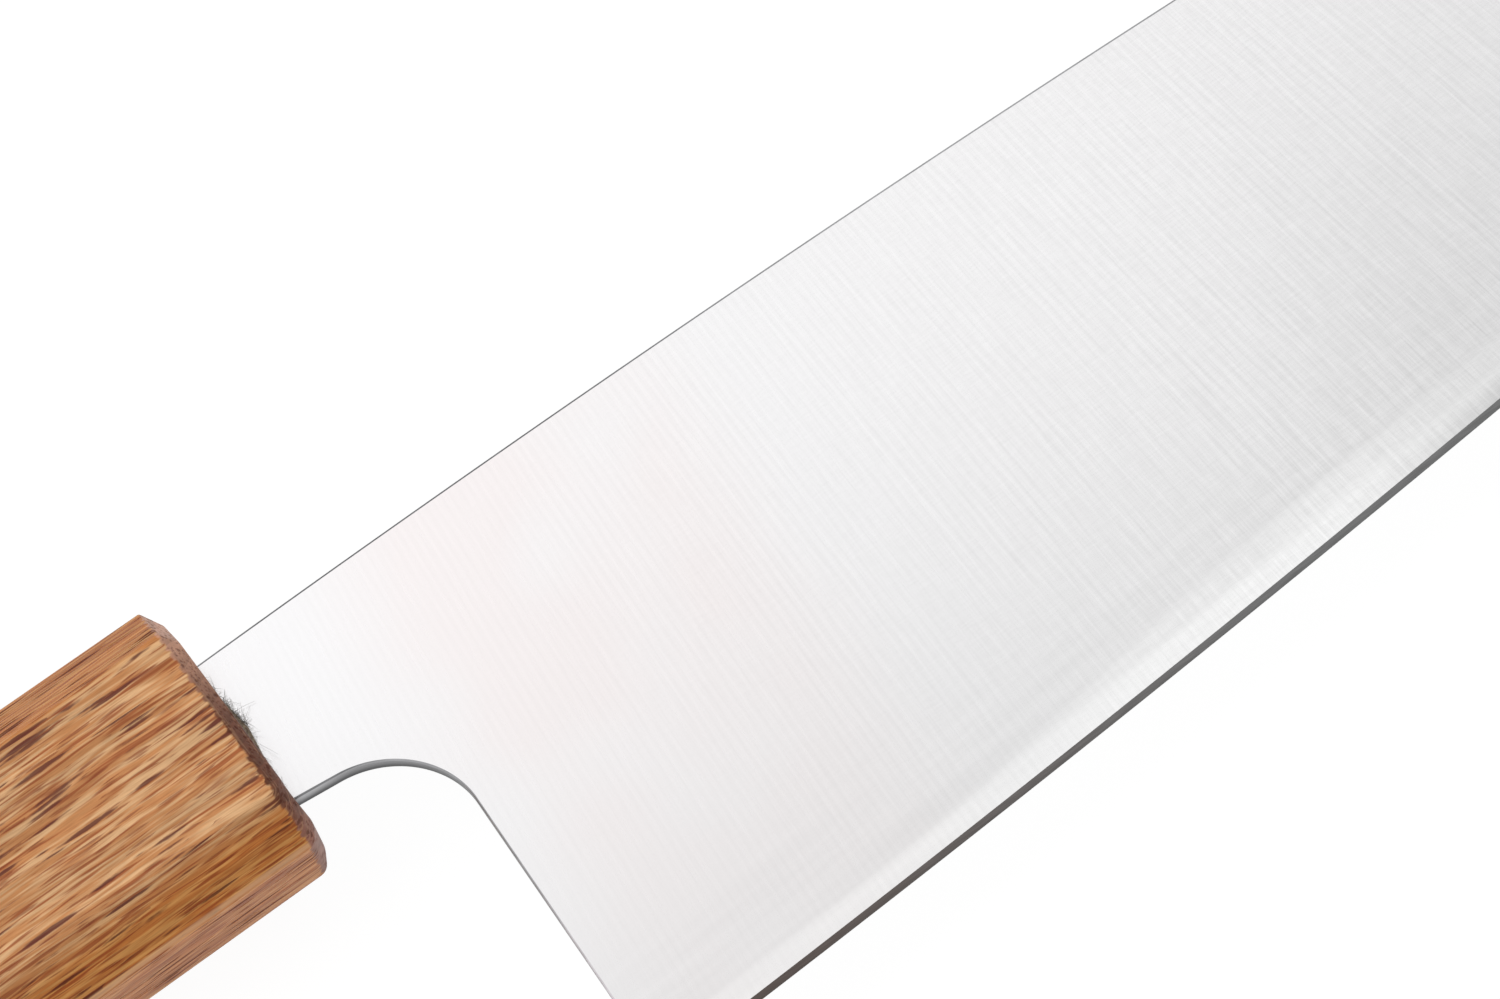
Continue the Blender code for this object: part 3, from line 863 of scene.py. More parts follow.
# %% Position across and along the grinding lines
RAY_CENTRE = (38.0, 255.0, 0.0)
RAY_LENGTH = 270.0  # about as far as from there to the middle of the blade
STRETCH = 26.0  # a line is this many times longer than it is wide
LINE_SPACING = 0.72  # from ripple to ripple
RAY_ROUGHNESS = 0.6
NOISE_SPAN, NOISE_MIDDLE = (0.3, 0.7), 0.5  # nearly all values lie in the span
FRAME_MM = 1 / MM  # millimetres in a unit of the frame


def millimetres(add, centre=(0, 0, 0)):
    """Object coordinates in millimetres from a point of the knife."""
    place = add("ShaderNodeTexCoord").outputs["Object"]
    scaled = add(EACH_TIMES, place, (FRAME_MM,) * 3)
    return add(EACH_MINUS, scaled, tuple(in_frame(centre) * FRAME_MM))


def ray_pattern(add):
    """Position across the rays in mm, position along them, and depth in the steel."""
    x, y, z = add(SPLIT, millimetres(add, RAY_CENTRE)).outputs
    return add(TIMES, add(OVER, x, y), -RAY_LENGTH), y, z


def ray_noise(add, rays, width, detail=1.0, stretch=STRETCH):
    """Noise with a given width across the rays, and stretched along them."""
    across, along, depth = rays
    u = add(OVER, across, width)
    v = add(OVER, along, width * stretch)
    point = add(JOIN, u, v, depth)
    return add(NOISE, point, Scale=1.0, Detail=detail, Roughness=RAY_ROUGHNESS)


print("ripples in 100 mm of blade:", round(100 / LINE_SPACING))

# %% [markdown]
# ## Slow change of tone
# A satin face shows the room as one slow change of tone: brightest at the neck, and
# darker to the tip and to the edge. Dark cards beside the knife could give it, but
# only to one lens. So it is painted into the finish as a reflection of the room, by the
# place on the blade, and it stays where it is when the knife is looked at from
# elsewhere. A light band along the edge belongs to the grinding, and a painted shadow
# at the nose is added to both.

# %% Tone of the face, and the band along the edge
# A range says where it starts and ends, in mm, and its value at the start and the end.
# Painted reflection of the room: the first tone at the neck, the second towards the tip and the
# edge.
FACE_PAINTED_LIGHT_TONES = ("FBFAFB", "CFCFCF")
FALL_ALONG = (0.0, 130.0, 0.0, 20.0)
FALL_BY_DEPTH = (0.0070, 0.21)  # under the spine, for its square and for itself
WHOLE_FALL = 44.0  # the fall at which the second tone is reached
BAND_FRAY = (20.0, 80.0, 0.4, 1.8)
BAND_DROP = (30.0, 60.0, 0.3, 0.0)
BAND_TOP = (42.0, 66.0, 2.7, 4.3)
BAND_SHARE = (35.0, 62.0, 0.66, 0.97)
LOWER_STEP = (1.9, 2.9, 0.5, 0.0)
UPPER_STEP = (0.85, 1.12, 0.45, 0.0)  # from and to as shares of the band's top


def painted_room_light(add, x, depth):
    """Painted reflection of the room, whose fall = a share of x + depth times (a share of depth
    + a constant).
    """
    per_mm = add(TIMES_PLUS, depth, *FALL_BY_DEPTH)
    fall = add(TIMES_PLUS, per_mm, depth, add(MAP, x, *FALL_ALONG))
    return add(MIX, add(OVER, fall, WHOLE_FALL), *FACE_PAINTED_LIGHT_TONES)


def edge_band(add, x, height, level):
    """Share of the light band: two steps over the edge, which the scratches fray.

    The upper step lies higher towards the tip, and the band is weaker at the heel."""
    raised = add(PLUS, height, add(MAP, x, *BAND_DROP))
    frayed = add(TIMES_PLUS, level, add(MAP, x, *BAND_FRAY), raised)
    share = add(OVER, frayed, add(MAP, x, *BAND_TOP))
    band = add(PLUS, add(SMOOTH, frayed, *LOWER_STEP), add(SMOOTH, share, *UPPER_STEP))
    return add(TIMES, band, add(MAP, x, *BAND_SHARE))


print("the band ends", BAND_TOP[2], "mm over the edge, and", BAND_TOP[3], "mm towards the tip")

# %% Shadow of the nose, and faint streaks
# Painted shade where the nose curves away, darkest near the edge.
NOSE_SHADOW = (72.0, 92.0, 0.0, 1.0)
NOSE_AT_EDGE = (0.3, 3.4, 0.26, 0.0)
NOSE_ABOVE = (12.0, 42.0, 0.07, 0.01)
STREAK_LENGTH = 16.0  # per mm of width
STREAK_STRENGTH = 0.022
STREAKS_FADE = (5.0, 12.0, 1.0, 0.0)
STREAK_LEVEL = 1.012


def nose_and_streaks(add, x, height):
    """Factor = faint streaks along the band less the shadow where the nose curves away."""
    # painted shade at the nose
    dark = add(PLUS, add(SMOOTH, height, *NOSE_AT_EDGE), add(MAP, height, *NOSE_ABOVE))
    dark = add(TIMES, add(SMOOTH, x, *NOSE_SHADOW), dark)
    beside = add(JOIN, add(OVER, x, STREAK_LENGTH), height, 0.0)
    streak = add(NOISE, beside, Scale=1.0, Detail=1.0)
    streak = add(MAP, streak, *NOISE_SPAN, -STREAK_STRENGTH, STREAK_STRENGTH)
    streak = add(TIMES_PLUS, streak, add(SMOOTH, height, *STREAKS_FADE), STREAK_LEVEL)
    return add(MINUS, streak, dark)


print("the nose is in shadow from x =", NOSE_SHADOW[0], "mm on")

# %% [markdown]
# ## Ripples, scratches and a warm patch
# The ripples and scratches could be real grooves, but they are less than a hundredth
# of a millimetre deep, and a mesh that fine would be huge. So they are thin changes of
# tone and gloss, with a trace of bump, and grow towards the tip, as on the real blade.
# Between the heel and the middle the steel has a faint rosy cast.

# %% Ripples and scratches
SCRATCH_WIDTH = 0.15  # real ones are 0.02 mm wide, too fine to show, so drawn coarser
SCRATCH_DETAIL = 2.0
RUBBING = (0.14, SCRATCH_DETAIL, 8.0)  # width, detail and stretch of the lengthwise ones
RIPPLE_DRIFT = (1.6, 2.8)  # width of the noise that shifts the ripples, and how far
RIPPLE_PATCH = 2.7  # width of the noise that weakens them
RIPPLE_STRENGTH = (0.35, 0.65, 0.008, 0.018)  # by that noise
RIPPLE_GROWTH = (8.0, 60.0, 0.4, 1.25)
SCRATCH_GROWTH = (15.0, 85.0, 0.04, 0.18)
LOW_SCRATCHES = (5.0, 24.0, 0.14, 0.0)  # by height
LOW_FROM = (45.0, 75.0, 0.0, 1.0)
RUBBING_GROWTH = (20.0, 80.0, 0.02, 0.15)


def ground_lines(add, rays, level, x, height):
    """Factor = 1 + sine of the position across the rays + scratches both ways."""
    width, shift = RIPPLE_DRIFT
    turns = add(TIMES, rays[0], 2 * math.pi / LINE_SPACING)
    wave = add(SINE, add(TIMES_PLUS, ray_noise(add, rays, width), shift, turns))
    strength = add(MAP, ray_noise(add, rays, RIPPLE_PATCH), *RIPPLE_STRENGTH)
    strength = add(TIMES, strength, add(MAP, x, *RIPPLE_GROWTH))
    low = add(TIMES, add(MAP, height, *LOW_SCRATCHES), add(MAP, x, *LOW_FROM))
    growing = add(PLUS, add(MAP, x, *SCRATCH_GROWTH), low)
    factor = add(TIMES_PLUS, level, growing, add(TIMES_PLUS, wave, strength, 1.0))
    lengthwise = ray_noise(add, (rays[1], rays[0], rays[2]), *RUBBING)
    lengthwise = add(MINUS, lengthwise, NOISE_MIDDLE)
    return add(TIMES_PLUS, lengthwise, add(MAP, x, *RUBBING_GROWTH), factor)


print("ripples change the tone by", RIPPLE_STRENGTH[2], "to", RIPPLE_STRENGTH[3])

# %% Warm patch
WARM_RANGES = ((6.0, 18.0, 0.0, 1.0), (32.0, 46.0, 1.0, 0.0))
WARM_BY_HEIGHT = (6.0, 28.0, 0.45, 1.0)
WARM_BY_CLOUD = (0.35, 0.6, 0.35, 1.0)
CLOUD_SCALE = 0.07  # per mm, so a cloud is about 14 mm wide
WARM_TINTS = ("FFFFFF", "FFFAF9")


def warm_tint(add, place, x, height):
    """White, or a hint of rose between two x, by height and by a slow noise."""
    warm, cool = (add(SMOOTH, x, *reach) for reach in WARM_RANGES)
    cloud = add(NOISE, place, Scale=CLOUD_SCALE, Detail=1.0)
    for share in (cool, add(MAP, height, *WARM_BY_HEIGHT), add(MAP, cloud, *WARM_BY_CLOUD)):
        warm = add(TIMES, warm, share)
    return add(MIX, warm, *WARM_TINTS)


print("the warm patch ends", WARM_RANGES[1][1], "mm from the handle")

# %% Ground steel from all of these
STEEL_GLOSS = (0.20, 0.28)  # roughness between and in the scratches
SCRATCH_DEPTH = 1e-6  # in metres


def shaded(add, tone, light):
    """A tone times a grey as light as the given number."""
    return add(TINT, 1.0, tone, add(GREY, light, light, light))


def ground_steel(name, band_tone):
    """Ground stainless steel: a bright satin with fine lines that slant across it."""
    material, add, steel = new_finish(name)
    place = millimetres(add)
    x = add(SPLIT, place).outputs["X"]
    height, depth = (add(measure).outputs["Fac"] for measure in (HEIGHT, DEPTH))
    rays = ray_pattern(add)
    scratches = ray_noise(add, rays, SCRATCH_WIDTH, SCRATCH_DETAIL)
    level = add(MINUS, scratches, NOISE_MIDDLE)
    # painted reflection of the room, mixed with the light band along the edge
    tone = add(MIX, edge_band(add, x, height, level), painted_room_light(add, x, depth), band_tone)
    tone = add(TINT, 1.0, tone, warm_tint(add, place, x, height))
    lines = ground_lines(add, rays, level, x, height)
    tone = shaded(add, tone, add(TIMES, lines, nose_and_streaks(add, x, height)))
    gloss = add(MAP, scratches, *NOISE_SPAN, *STEEL_GLOSS)
    bump = add(BUMP, Strength=1.0, Distance=SCRATCH_DEPTH, Height=scratches)
    feed(steel, Base_Color=tone, Metallic=1.0, Roughness=gloss, Normal=bump)
    return material


cladding_finish = ground_steel("ground_stainless_cladding", "F1F1F1")
core_finish = ground_steel("ground_hard_core", "F3F3F3")
print("nodes of the ground steel:", len(cladding_finish.node_tree.nodes))

# %% [markdown]
# ## Eased rims and the sharpened facet
# The spine, the neck and the choil are rounded over and rubbed smooth along their
# length, and they mirror what lies beside the knife instead of the light above. That
# mirrored light and shade is painted into their tone. The facet along the edge is cut
# by a whetstone, and its dark even grey is painted shade for what it mirrors, browner
# towards the heel. Both could share the face's finish, but each has been worked with
# another tool, and the eye sees that first.

# %% Rubbed rim
RUBBED_TONES = (0.88, 1.12)  # of the dark and the light scratches
RIM_SCRATCHES = (0.6, 1.0, 9.0)  # cells of noise per mm in x, y and z
# The rim's tones are painted light and shade that the rim mirrors: lighter near the handle and
# down the heel, darker to the left face, and a thin dark line next to the right face.
RIM_PAINTED_LIT_TONE, RIM_GLOSS = "CCCCCE", "B8B8B8"
RIM_PAINTED_SHADING = (  # an axis, a range along it, and the tone that it leads to
    ("X", (0.5, 6.0, 0.0, 1.0), "A2A2A4"),
    ("Y", (-42.0, -25.0, 1.0, 0.0), "E4DEE2"),
    ("Z", (-0.9, 0.7, 1.0, 0.0), "555557"),
    ("Z", (0.92, 1.02, 0.0, 0.75), "5A5A5C"),
)


def turning(add, tone, value, reach, colour):
    """A tone that turns into a colour as a value goes over a range."""
    return add(MIX, add(SMOOTH, value, *reach), tone, colour)


def rubbed(add, place, scale):
    """Factor about 1 from noise with a number of cells per mm along each axis."""
    scratch = add(NOISE, add(EACH_TIMES, place, scale), Scale=1.0, Detail=3.0)
    return add(MAP, scratch, *NOISE_SPAN, *RUBBED_TONES)


def rubbed_rim(name):
    """Rubbed steel: a thin satin line with painted shade, whose tone falls from the right face
    to the left.
    """
    material, add, steel = new_finish(name)
    place = millimetres(add)
    along = add(SPLIT, place).outputs
    tone = RIM_PAINTED_LIT_TONE
    # painted light and shade along the rim
    for axis, reach, colour in RIM_PAINTED_SHADING:
        tone = turning(add, tone, along[axis], reach, colour)
    tone = shaded(add, tone, rubbed(add, place, RIM_SCRATCHES))
    feed(steel, Base_Color=tone, Metallic=1.0, Roughness=0.28, Specular_Tint=RIM_GLOSS)
    return material


rim_finish = rubbed_rim("rubbed_steel_rim")
print("finish:", rim_finish.name)

# %% Whetted facet
FACET_SCRATCHES = (0.5, 8.0, 8.0)
# The facet's dark grey is painted shade for what it mirrors; it is browner towards the heel.
FACET_HEEL, FACET_TIP = "5C524E", ((10.0, 75.0, 0.0, 1.0), "747474")
# painted shade at the apex, by height
APEX_PAINTED_SHADE = (0.0, 0.4, 0.84, 1.0)  # by height


def whetted_facet(name):
    """Stone-cut steel: an even dark grey painted as shade, browner to the heel, darker at the
    apex.
    """
    material, add, steel = new_finish(name)
    place = millimetres(add)
    tone = turning(add, FACET_HEEL, add(SPLIT, place).outputs["X"], *FACET_TIP)
    apex_shade = add(SMOOTH, add(HEIGHT).outputs["Fac"], *APEX_PAINTED_SHADE)
    tone = shaded(add, tone, add(TIMES, rubbed(add, place, FACET_SCRATCHES), apex_shade))
    feed(steel, Base_Color=tone, Metallic=1.0, Roughness=0.35)
    return material


facet_finish = whetted_facet("whetted_steel_facet")
print("finish:", facet_finish.name)

# %% [markdown]
# ## Grain and vessels of the oak
# The handle is ring-porous wood, planed, sanded and oiled. Its vessels run along the
# stick and are cut open on the sides as dark slots a few millimetres long, between
# honey-coloured and red-brown fibres. A picture of wood could be wrapped round, but
# would break at every edge. This pattern is solid, worked out through the whole stick,
# so it runs on truly from side to side. Fibres are noise stretched along the stick,
# and vessels are long cells, some filled and some empty.

# %% Fibres
# A cell of noise has a length along the grain, a width in mm, and a shift that sets it
# apart. Real fibres are 0.02 mm wide, too fine to show in the render, so these are
# drawn coarser.
FIBRE = (7.0, 0.32, 0.0)
RED_LINE = (6.0, 0.25, 11.0)
HAIR = (1.5, 0.12, 17.0)
SLOW_CHANGE = (24.0, 1.5, 5.0)
HONEY = "C38757"
PALE = ((0.40, 0.66, 0.0, 1.0), "DBAE80")
RED_BROWN = ((0.51, 0.67, 0.0, 0.80), "98502E")
HAIR_TONES = (0.90, 1.10)
SHIFT_RATIOS = (1.0, 0.7, 1.3)  # of a cell's shift, in x, y and z
SLOW_RANGE = (0.35, 0.65, 0.88, 1.08)


def stretched(add, place, along, across, shift):
    """Place divided by a length along the grain and a width across it, and shifted."""
    scaled = add(EACH_TIMES, place, (1 / along, 1 / across, 1 / across))
    return add(EACH_PLUS, scaled, tuple(shift * ratio for ratio in SHIFT_RATIOS))


def fibrous(add, place, cell, detail=1.0):
    """Noise with the length, width and shift of a cell."""
    return add(NOISE, stretched(add, place, *cell), Scale=1.0, Detail=detail)


def grain(add, place):
    """Honey and pale fibres, thin red-brown lines, fine hairs and a slow change of tone."""
    fibre = fibrous(add, place, FIBRE)
    tone = turning(add, HONEY, fibre, *PALE)
    tone = turning(add, tone, fibrous(add, place, RED_LINE), *RED_BROWN)
    light = add(MAP, fibrous(add, place, HAIR), *NOISE_SPAN, *HAIR_TONES)
    slow = add(SMOOTH, fibrous(add, place, SLOW_CHANGE, 2.0), *SLOW_RANGE)
    return shaded(add, tone, add(TIMES, light, slow)), fibre


print("fibres are", FIBRE[1], "mm wide, and the hairs on them", HAIR[1], "mm")

# %% Vessels
WIDE_VESSEL = (6.6, 0.46, 0.85)  # length and width of a cell in mm, and its darkness
THIN_VESSEL = (3.4, 0.27, 0.6)
VESSEL_SHIFT = 23.0
VESSEL_CELLS = ("ShaderNodeTexVoronoi", {"distance": "MINKOWSKI"})
VESSEL_POINT = 1.6  # exponent of that distance: 1 gives a diamond and 2 an oval
VESSEL_FRAY = (1.0, 0.20, 41.0)
FRAY_SHARE = 0.30
CHANCE_RANGE = (0.15, 1.0, 0.0, 0.47)  # from a cell's random number to its vessel's reach
VESSEL_EDGE = (0.04, 0.28)


def vessels(add, place, length, width, strength):
    """Mask of cells with pointed ends, each as big as its own random number says.

    A cell has the given length and width, and most vessels fill about half of it."""
    cell = stretched(add, place, length, width, VESSEL_SHIFT)
    vessel = add(VESSEL_CELLS, cell, Scale=1.0, Exponent=VESSEL_POINT, Randomness=1.0)
    chance = add("ShaderNodeSeparateColor", vessel.outputs["Color"])
    near = add(MINUS, add(MAP, chance, *CHANCE_RANGE), vessel)
    frayed = add(TIMES, fibrous(add, place, VESSEL_FRAY), FRAY_SHARE)
    return add(SMOOTH, add(PLUS, near, frayed), *VESSEL_EDGE, 0.0, strength)


print("cells of the vessels in mm:", WIDE_VESSEL[:2], THIN_VESSEL[:2])

# %% [markdown]
# ## Dark cut ends
# On the bevels and the end faces the vessels are cut across. There the wood drinks
# more oil and turns dark, and shows growth rings, pale rays and open vessels. The ends
# could be pieces of their own with their own finish, but then the dark would stop at a
# straight line. As a part of the same solid pattern it creeps along the fibres.

# %% End grain
TO_PITH = (0.0, 80.0, 25.0)  # from the middle of the tree to the stick's axis
RING_SPACING = 1.7
RING_WOBBLE_SCALE = 0.25  # per mm, as the next one
MOTTLE_SCALE, MOTTLE_TONES = 2.2, (0.84, 1.14)
RING_RANGE = (0.0, 0.9, 0.84, 1.12)
RAY_CELLS = (0.2, 0.16, 4.0)  # per mm in x, y and z
PALE_RAYS = ((0.54, 0.70, 0.0, 0.35), "B88C6A")
OILED_DARK = "64392A"
# painted highlight along the top of the cut ends
END_PAINTED_HIGHLIGHT = ((-2.0, 9.0, 0.0, 1.0), "CC9A82")  # by y
LOW_END = ((-10.6, -7.5, 1.0, 0.0), "96685A")
OPEN_SHARE, OPEN_TONE = 0.6, "4A2419"


def cut_end(add, place, y, pore):
    """Dark end grain: growth rings about a pith 84 mm away, pale rays, open vessels, a painted
    highlight along the top and a lighter tone at the bottom.

    Ring = the fraction of the distance from the pith over the rings' spacing."""
    from_pith = add(EACH_TIMES_PLUS, place, (0.0, 1.0, 1.0), TO_PITH)
    distance = add((VECTOR, {"operation": "LENGTH"}), from_pith)
    wobble = add(NOISE, place, Scale=RING_WOBBLE_SCALE, Detail=1.0)
    turns = add(TIMES_PLUS, distance, 1 / RING_SPACING, wobble)
    ring = add(SMOOTH, add((MATH, {"operation": "FRACT"}), turns), *RING_RANGE)
    mottle = add(NOISE, place, Scale=MOTTLE_SCALE, Detail=2.0)
    mottle = add(MAP, mottle, *NOISE_SPAN, *MOTTLE_TONES)
    rays = add(NOISE, add(EACH_TIMES, place, RAY_CELLS), Scale=1.0, Detail=1.0)
    tone = turning(add, turning(add, OILED_DARK, y, *END_PAINTED_HIGHLIGHT), y, *LOW_END)
    tone = turning(add, shaded(add, tone, add(TIMES, ring, mottle)), rays, *PALE_RAYS)
    return add(MIX, add(TIMES, pore, OPEN_SHARE), tone, OPEN_TONE)


print("distance to the pith in mm:", round(math.hypot(*TO_PITH)))

# %% Where the wood is cut across
TEETH_CELL, TEETH_RANGE = (5.5, 0.45, 0.0), (0.36, 0.56, 0.20, 0.0)
FRONT_DARK = (-FRONT_DEPTH - 0.14, 0.12 - FRONT_DEPTH, 0.0, 0.94)
REAR_DARK = (REAR_BEVEL - HANDLE_LENGTH, -HANDLE_LENGTH + 1.2, 0.0, 0.8)


def cut_across(add, drift, x, y):
    """Mask of the bevels and ends, which starts later on a pale fibre and leaves teeth."""
    front = add(TIMES_PLUS, y, FRONT_SLANT, x)
    teeth = add(SMOOTH, fibrous(add, drift, TEETH_CELL, 0.0), *TEETH_RANGE)
    at_front = add(SMOOTH, add(PLUS, front, teeth), *FRONT_DARK)
    return add(LARGER, at_front, add(SMOOTH, front, *REAR_DARK))


print("the front end is dark", round(-FRONT_DARK[0], 2), "mm deep")

# %% Oiled oak with dark cut ends
WANDER, WANDER_BY = (26.0, 9.0, 3.0), (0.0, 0.9, 0.9)  # a cell, and mm in x, y and z
RIPPLE, RIPPLE_BY = (8.0, 2.2, 29.0), (0.0, 0.5, 0.5)
THIN_TONE, WIDE_TONE = "85402A", "60302C"
# Painted light and shade by side: the top, the lower slanted side and the bottom each get a tint
# for how the light falls on them.
SIDE_PAINTED_SHADE_TINTS = (  # range by y at the front, and the tint past it
    ((6.6, 8.0, 0.0, 1.0), "F2D8B2"),
    ((-9.2, -7.0, 1.0, 0.0), "F0D6A6"),
    ((-11.0, -10.7, 1.0, 0.0), "F6DFCB"),
)
ARRIS_DEPTH = 10.85  # of the lower rounded edge under the axis, painted with a pale highlight
ARRIS_PAINTED_HIGHLIGHT = ((0.04, 0.24, 0.55, 0.0), "DDB48C")
OAK_GLOSS = (0.0, 0.85, 0.45, 0.7)  # roughness by the pore's darkness
PORE_DEPTH = -3.0  # against the height of a fibre
GRAIN_HEIGHT = 1.0e-5  # in metres


def oiled_oak(name):
    """Oiled oak: a silky brown with dark slots, and dark where an end is cut."""
    material, add, wood = new_finish(name)
    place = drift = millimetres(add, (0, HANDLE_Y, 0))
    for cell, by in ((WANDER, WANDER_BY), (RIPPLE, RIPPLE_BY)):
        drift = add(EACH_TIMES_PLUS, fibrous(add, place, cell).outputs["Color"], by, drift)
    tone, fibre = grain(add, drift)
    wide, thin = vessels(add, drift, *WIDE_VESSEL), vessels(add, drift, *THIN_VESSEL)
    tone = add(MIX, wide, add(MIX, thin, tone, THIN_TONE), WIDE_TONE)
    pore = add(LARGER, wide, thin)
    x, y, _ = add(SPLIT, place).outputs
    y = add(TIMES, y, add(MAP, x, 0.0, -HANDLE_LENGTH, 1.0, FRONT_SIZE[0] / REAR_SIZE[0]))
    # painted shade tints for each side
    tint = "FFFFFF"
    for reach, colour in SIDE_PAINTED_SHADE_TINTS:
        tint = turning(add, tint, y, reach, colour)
    tone = add(TINT, 1.0, tone, tint)
    # painted pale highlight along the lower arris
    from_arris = add((MATH, {"operation": "ABSOLUTE"}), add(PLUS, y, ARRIS_DEPTH))
    tone = turning(add, tone, from_arris, *ARRIS_PAINTED_HIGHLIGHT)
    tone = add(MIX, cut_across(add, drift, x, y), tone, cut_end(add, place, y, pore))
    gloss = add(MAP, pore, *OAK_GLOSS)
    relief = add(TIMES_PLUS, pore, PORE_DEPTH, fibre)
    bump = add(BUMP, Strength=1.0, Distance=GRAIN_HEIGHT, Height=relief)
    feed(wood, Base_Color=tone, Roughness=gloss, Normal=bump)
    feed(wood, IOR=1.5, Specular_IOR_Level=0.12)
    return material


oak_finish = oiled_oak("oiled_oak")
print("finish:", oak_finish.name, "with", len(oak_finish.node_tree.nodes), "nodes")

# %% [markdown]
# ## Resin and fibres
# The resin is a hard amber-grey epoxy with wood dust in it. The fibres are dull and
# greenish grey. Both could be one plain colour at this size, but dust gives them two
# tones and a rough skin, so one function makes either from noise.

# %% Resin and fibres
SPECK_RANGE = (0.4, 0.6, 0.0, 1.0)
SPECK_HEIGHT = 2e-5  # in metres


def dusty_resin(name, dark, light, width, roughness):
    """Dusty epoxy: a dull plastic with specks of two tones, of the given width in mm."""
    material, add, resin = new_finish(name)
    specks = add(NOISE, millimetres(add), Scale=1 / width, Detail=3.0)
    tone = turning(add, dark, specks, SPECK_RANGE, light)
    bump = add(BUMP, Strength=1.0, Distance=SPECK_HEIGHT, Height=specks)
    feed(resin, Base_Color=tone, Roughness=roughness, Normal=bump)
    return material


resin_finish = dusty_resin("dusty_resin", "5E4C3B", "8C7B64", 0.25, 0.6)
fibre_finish = dusty_resin("grey_fibre", "4A463E", "787266", 0.2, 0.8)
print("finishes:", resin_finish.name, fibre_finish.name)

# %% [markdown]
# ## Putting the finishes on
# The height above the cutting edge goes into an attribute of the blade's pieces, so
# that the finish can follow the curved edge, which plain coordinates can't. Each piece
# then gets its finishes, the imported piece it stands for, and the body it moves with.

# %% Height over the edge, finishes and bodies
def measure_height(piece):
    """Height = y less the cutting edge's y at the same x; depth = spine's y less y."""
    points = np.empty(len(piece.data.vertices) * 3, np.float32)
    piece.data.vertices.foreach_get("co", points)
    x, y, _ = (points.reshape(-1, 3) / MM - SET_DOWN).T
    for name, values in (("height_mm", y - edge_y(x)), ("depth_mm", spine_y(x) - y)):
        attribute = piece.data.attributes.new(name, "FLOAT", "POINT")
        attribute.data.foreach_set("value", values.astype(np.float32))


def dress(piece, finishes, slot, *nodes):
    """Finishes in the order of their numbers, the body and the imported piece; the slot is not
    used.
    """
    for finish in finishes:
        piece.data.materials.append(finish)
    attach(piece, "root")
    if nodes:
        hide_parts(*nodes)


for steel_piece in (right_steel, left_steel, hard_core):
    measure_height(steel_piece)
dress(right_steel, [cladding_finish, rim_finish], "cladding_steel", "right_cladding")
dress(left_steel, [cladding_finish, rim_finish], "cladding_steel", "left_cladding")
dress(hard_core, [core_finish, rim_finish, facet_finish], "core_steel", "blade_core")
dress(wood_handle, [oak_finish], "handle_wood", "handle")
dress(bead, [resin_finish], "tang_resin")
dress(tuft, [fibre_finish], "tang_resin")
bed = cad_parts["tang_bed"]
bed.data.materials.clear()
bed.data.materials.append(resin_finish)

# %% [markdown]
# ## The table
# The knife lies on a white table, which shows only a faint shadow. A brighter lamp
# would whiten the table, but burn out the steel as well. So the table shows a constant
# white to the lens and to the metal, with a small share left to the light that falls
# on it, and the knife's own soft shadow stays. To scattered light it is plain white.

# %% Floor
FLOOR_SIZE = 3.0  # in metres
FLOOR_GLOW = 0.93
FLOOR_SHARE = 0.115  # of the light that falls on the table
MATT_SHARE = 0.75  # of that light, scattered on to the knife
WHITE = "FFFFFF"


def seen_directly(add):
    """1 for rays from the lens and from gloss or glass, and 0 for scattered light."""
    path = add("ShaderNodeLightPath").outputs
    seen = path["Is Camera Ray"]
    for ray in ("Is Glossy Ray", "Is Transmission Ray"):
        seen = add(LARGER, seen, path[ray])
    return seen


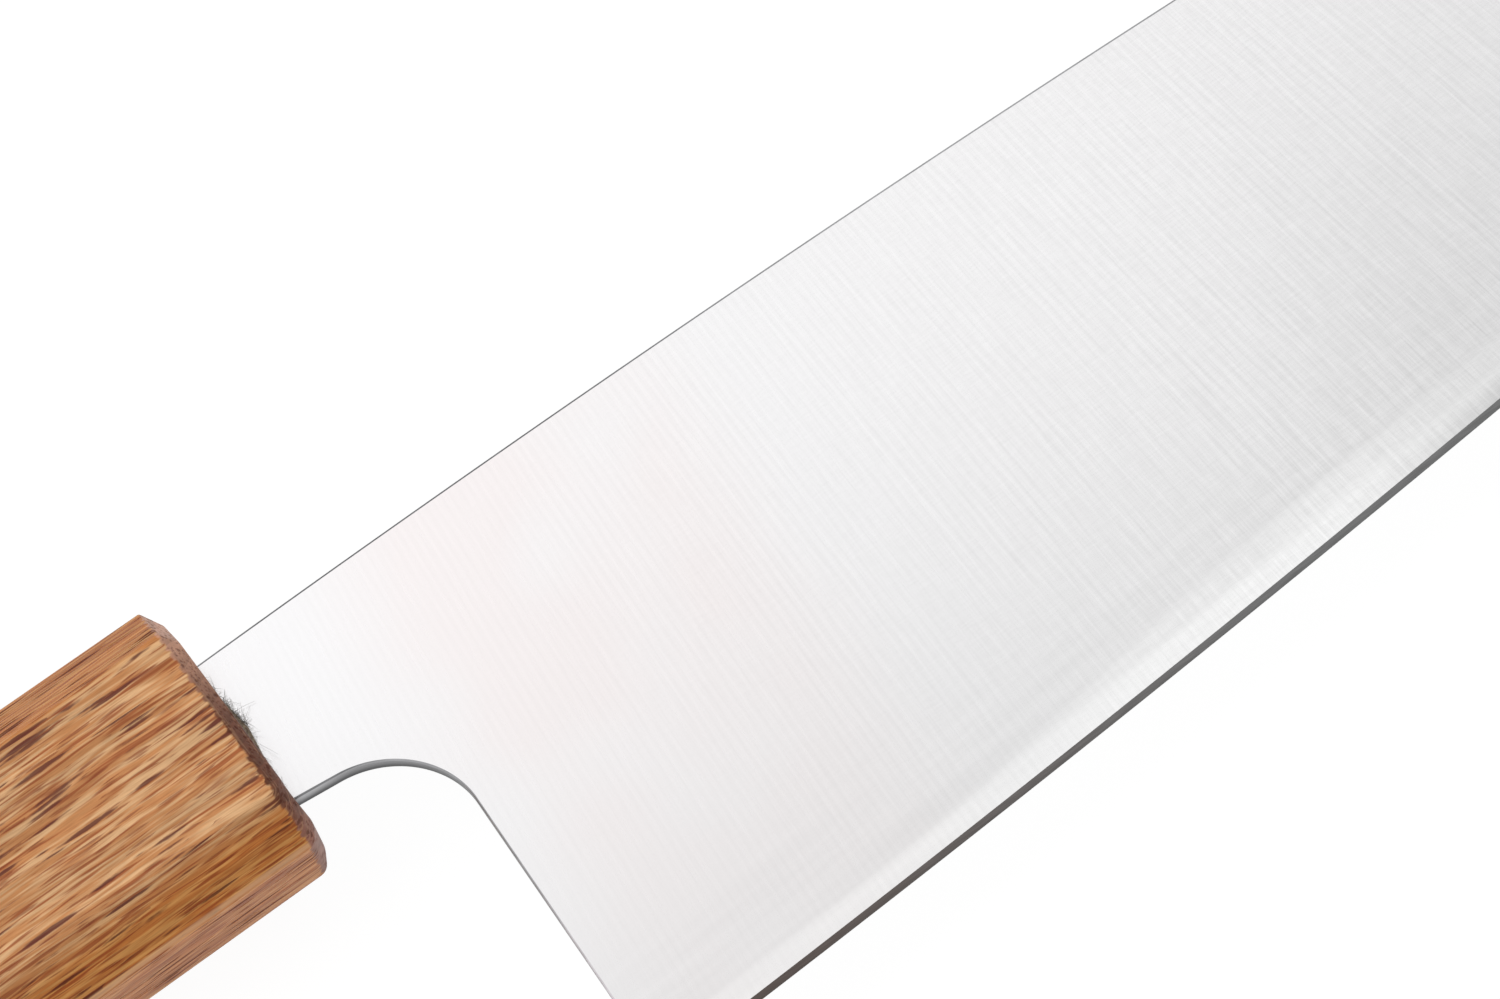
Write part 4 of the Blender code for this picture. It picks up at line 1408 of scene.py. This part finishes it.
def white_table():
    """A plain white sheet with the knife's shadow on it."""
    half = FLOOR_SIZE / 2
    data = bpy.data.meshes.new("table")
    corners = [(-half, -half, 0), (half, -half, 0), (half, half, 0), (-half, half, 0)]
    data.from_pydata(corners, [], [(0, 1, 2, 3)])
    table = into_scene("table", data)
    material, add, sheet = new_finish("white_table")
    glow = add("ShaderNodeEmission", Color=WHITE, Strength=FLOOR_GLOW)
    lit, matt = (
        add("ShaderNodeBsdfDiffuse", Color=(share, share, share, 1))
        for share in (FLOOR_SHARE, MATT_SHARE)
    )
    shown = add("ShaderNodeAddShader", glow, lit)
    chosen = add("ShaderNodeMixShader", seen_directly(add), matt, shown)
    feed(material.node_tree.nodes["Material Output"], Surface=chosen)
    material.node_tree.nodes.remove(sheet)
    data.materials.append(material)
    return table


table = white_table()
print("table's width in m:", table.dimensions.x)

# %% [markdown]
# ## World and lamps
# Most of the light comes evenly from a white room, as in a light tent. Two large soft
# lamps, a key and a weaker fill, model the wood and cast the soft shadow. Satin steel
# would show them as bright patches, which the real blade doesn't have, so the lens and
# the gloss see only the white room.

# %% World and lamps
SKY_STRENGTH = 0.62  # on the knife, where the lens sees white
KEY = ((-0.45, 0.35, 0.75), 0.7, 3.4)  # place and size in m, and power in W
FILL = ((0.5, -0.5, 0.6), 0.8, 0.8)


def white_world():
    """White to the lens and to metal, and a softer white light on everything else."""
    world = bpy.data.worlds.new("white_room")
    world.use_nodes = True
    world.node_tree.nodes.clear()
    add = partial(add_node, world.node_tree)
    soft, white = (
        add("ShaderNodeBackground", Color=WHITE, Strength=strength)
        for strength in (SKY_STRENGTH, 1.0)
    )
    chosen = add("ShaderNodeMixShader", seen_directly(add), soft, white)
    add("ShaderNodeOutputWorld", chosen)
    bpy.context.scene.world = world


def softbox(name, place, size, power):
    """A square area lamp that points at the knife, and that neither lens nor gloss sees."""
    light = bpy.data.lights.new(name, "AREA")
    light.shape = "SQUARE"
    light.size = size
    light.energy = power
    lamp = into_scene(name, light)
    back = (Vector(place) - AIM).normalized()
    lamp.matrix_world = aimed(Vector(place), back, 0.0)
    lamp.visible_camera = False
    lamp.visible_glossy = False


white_world()
softbox("key_softbox", *KEY)
softbox("fill_softbox", *FILL)
bpy.context.scene.view_settings.view_transform = "Standard"
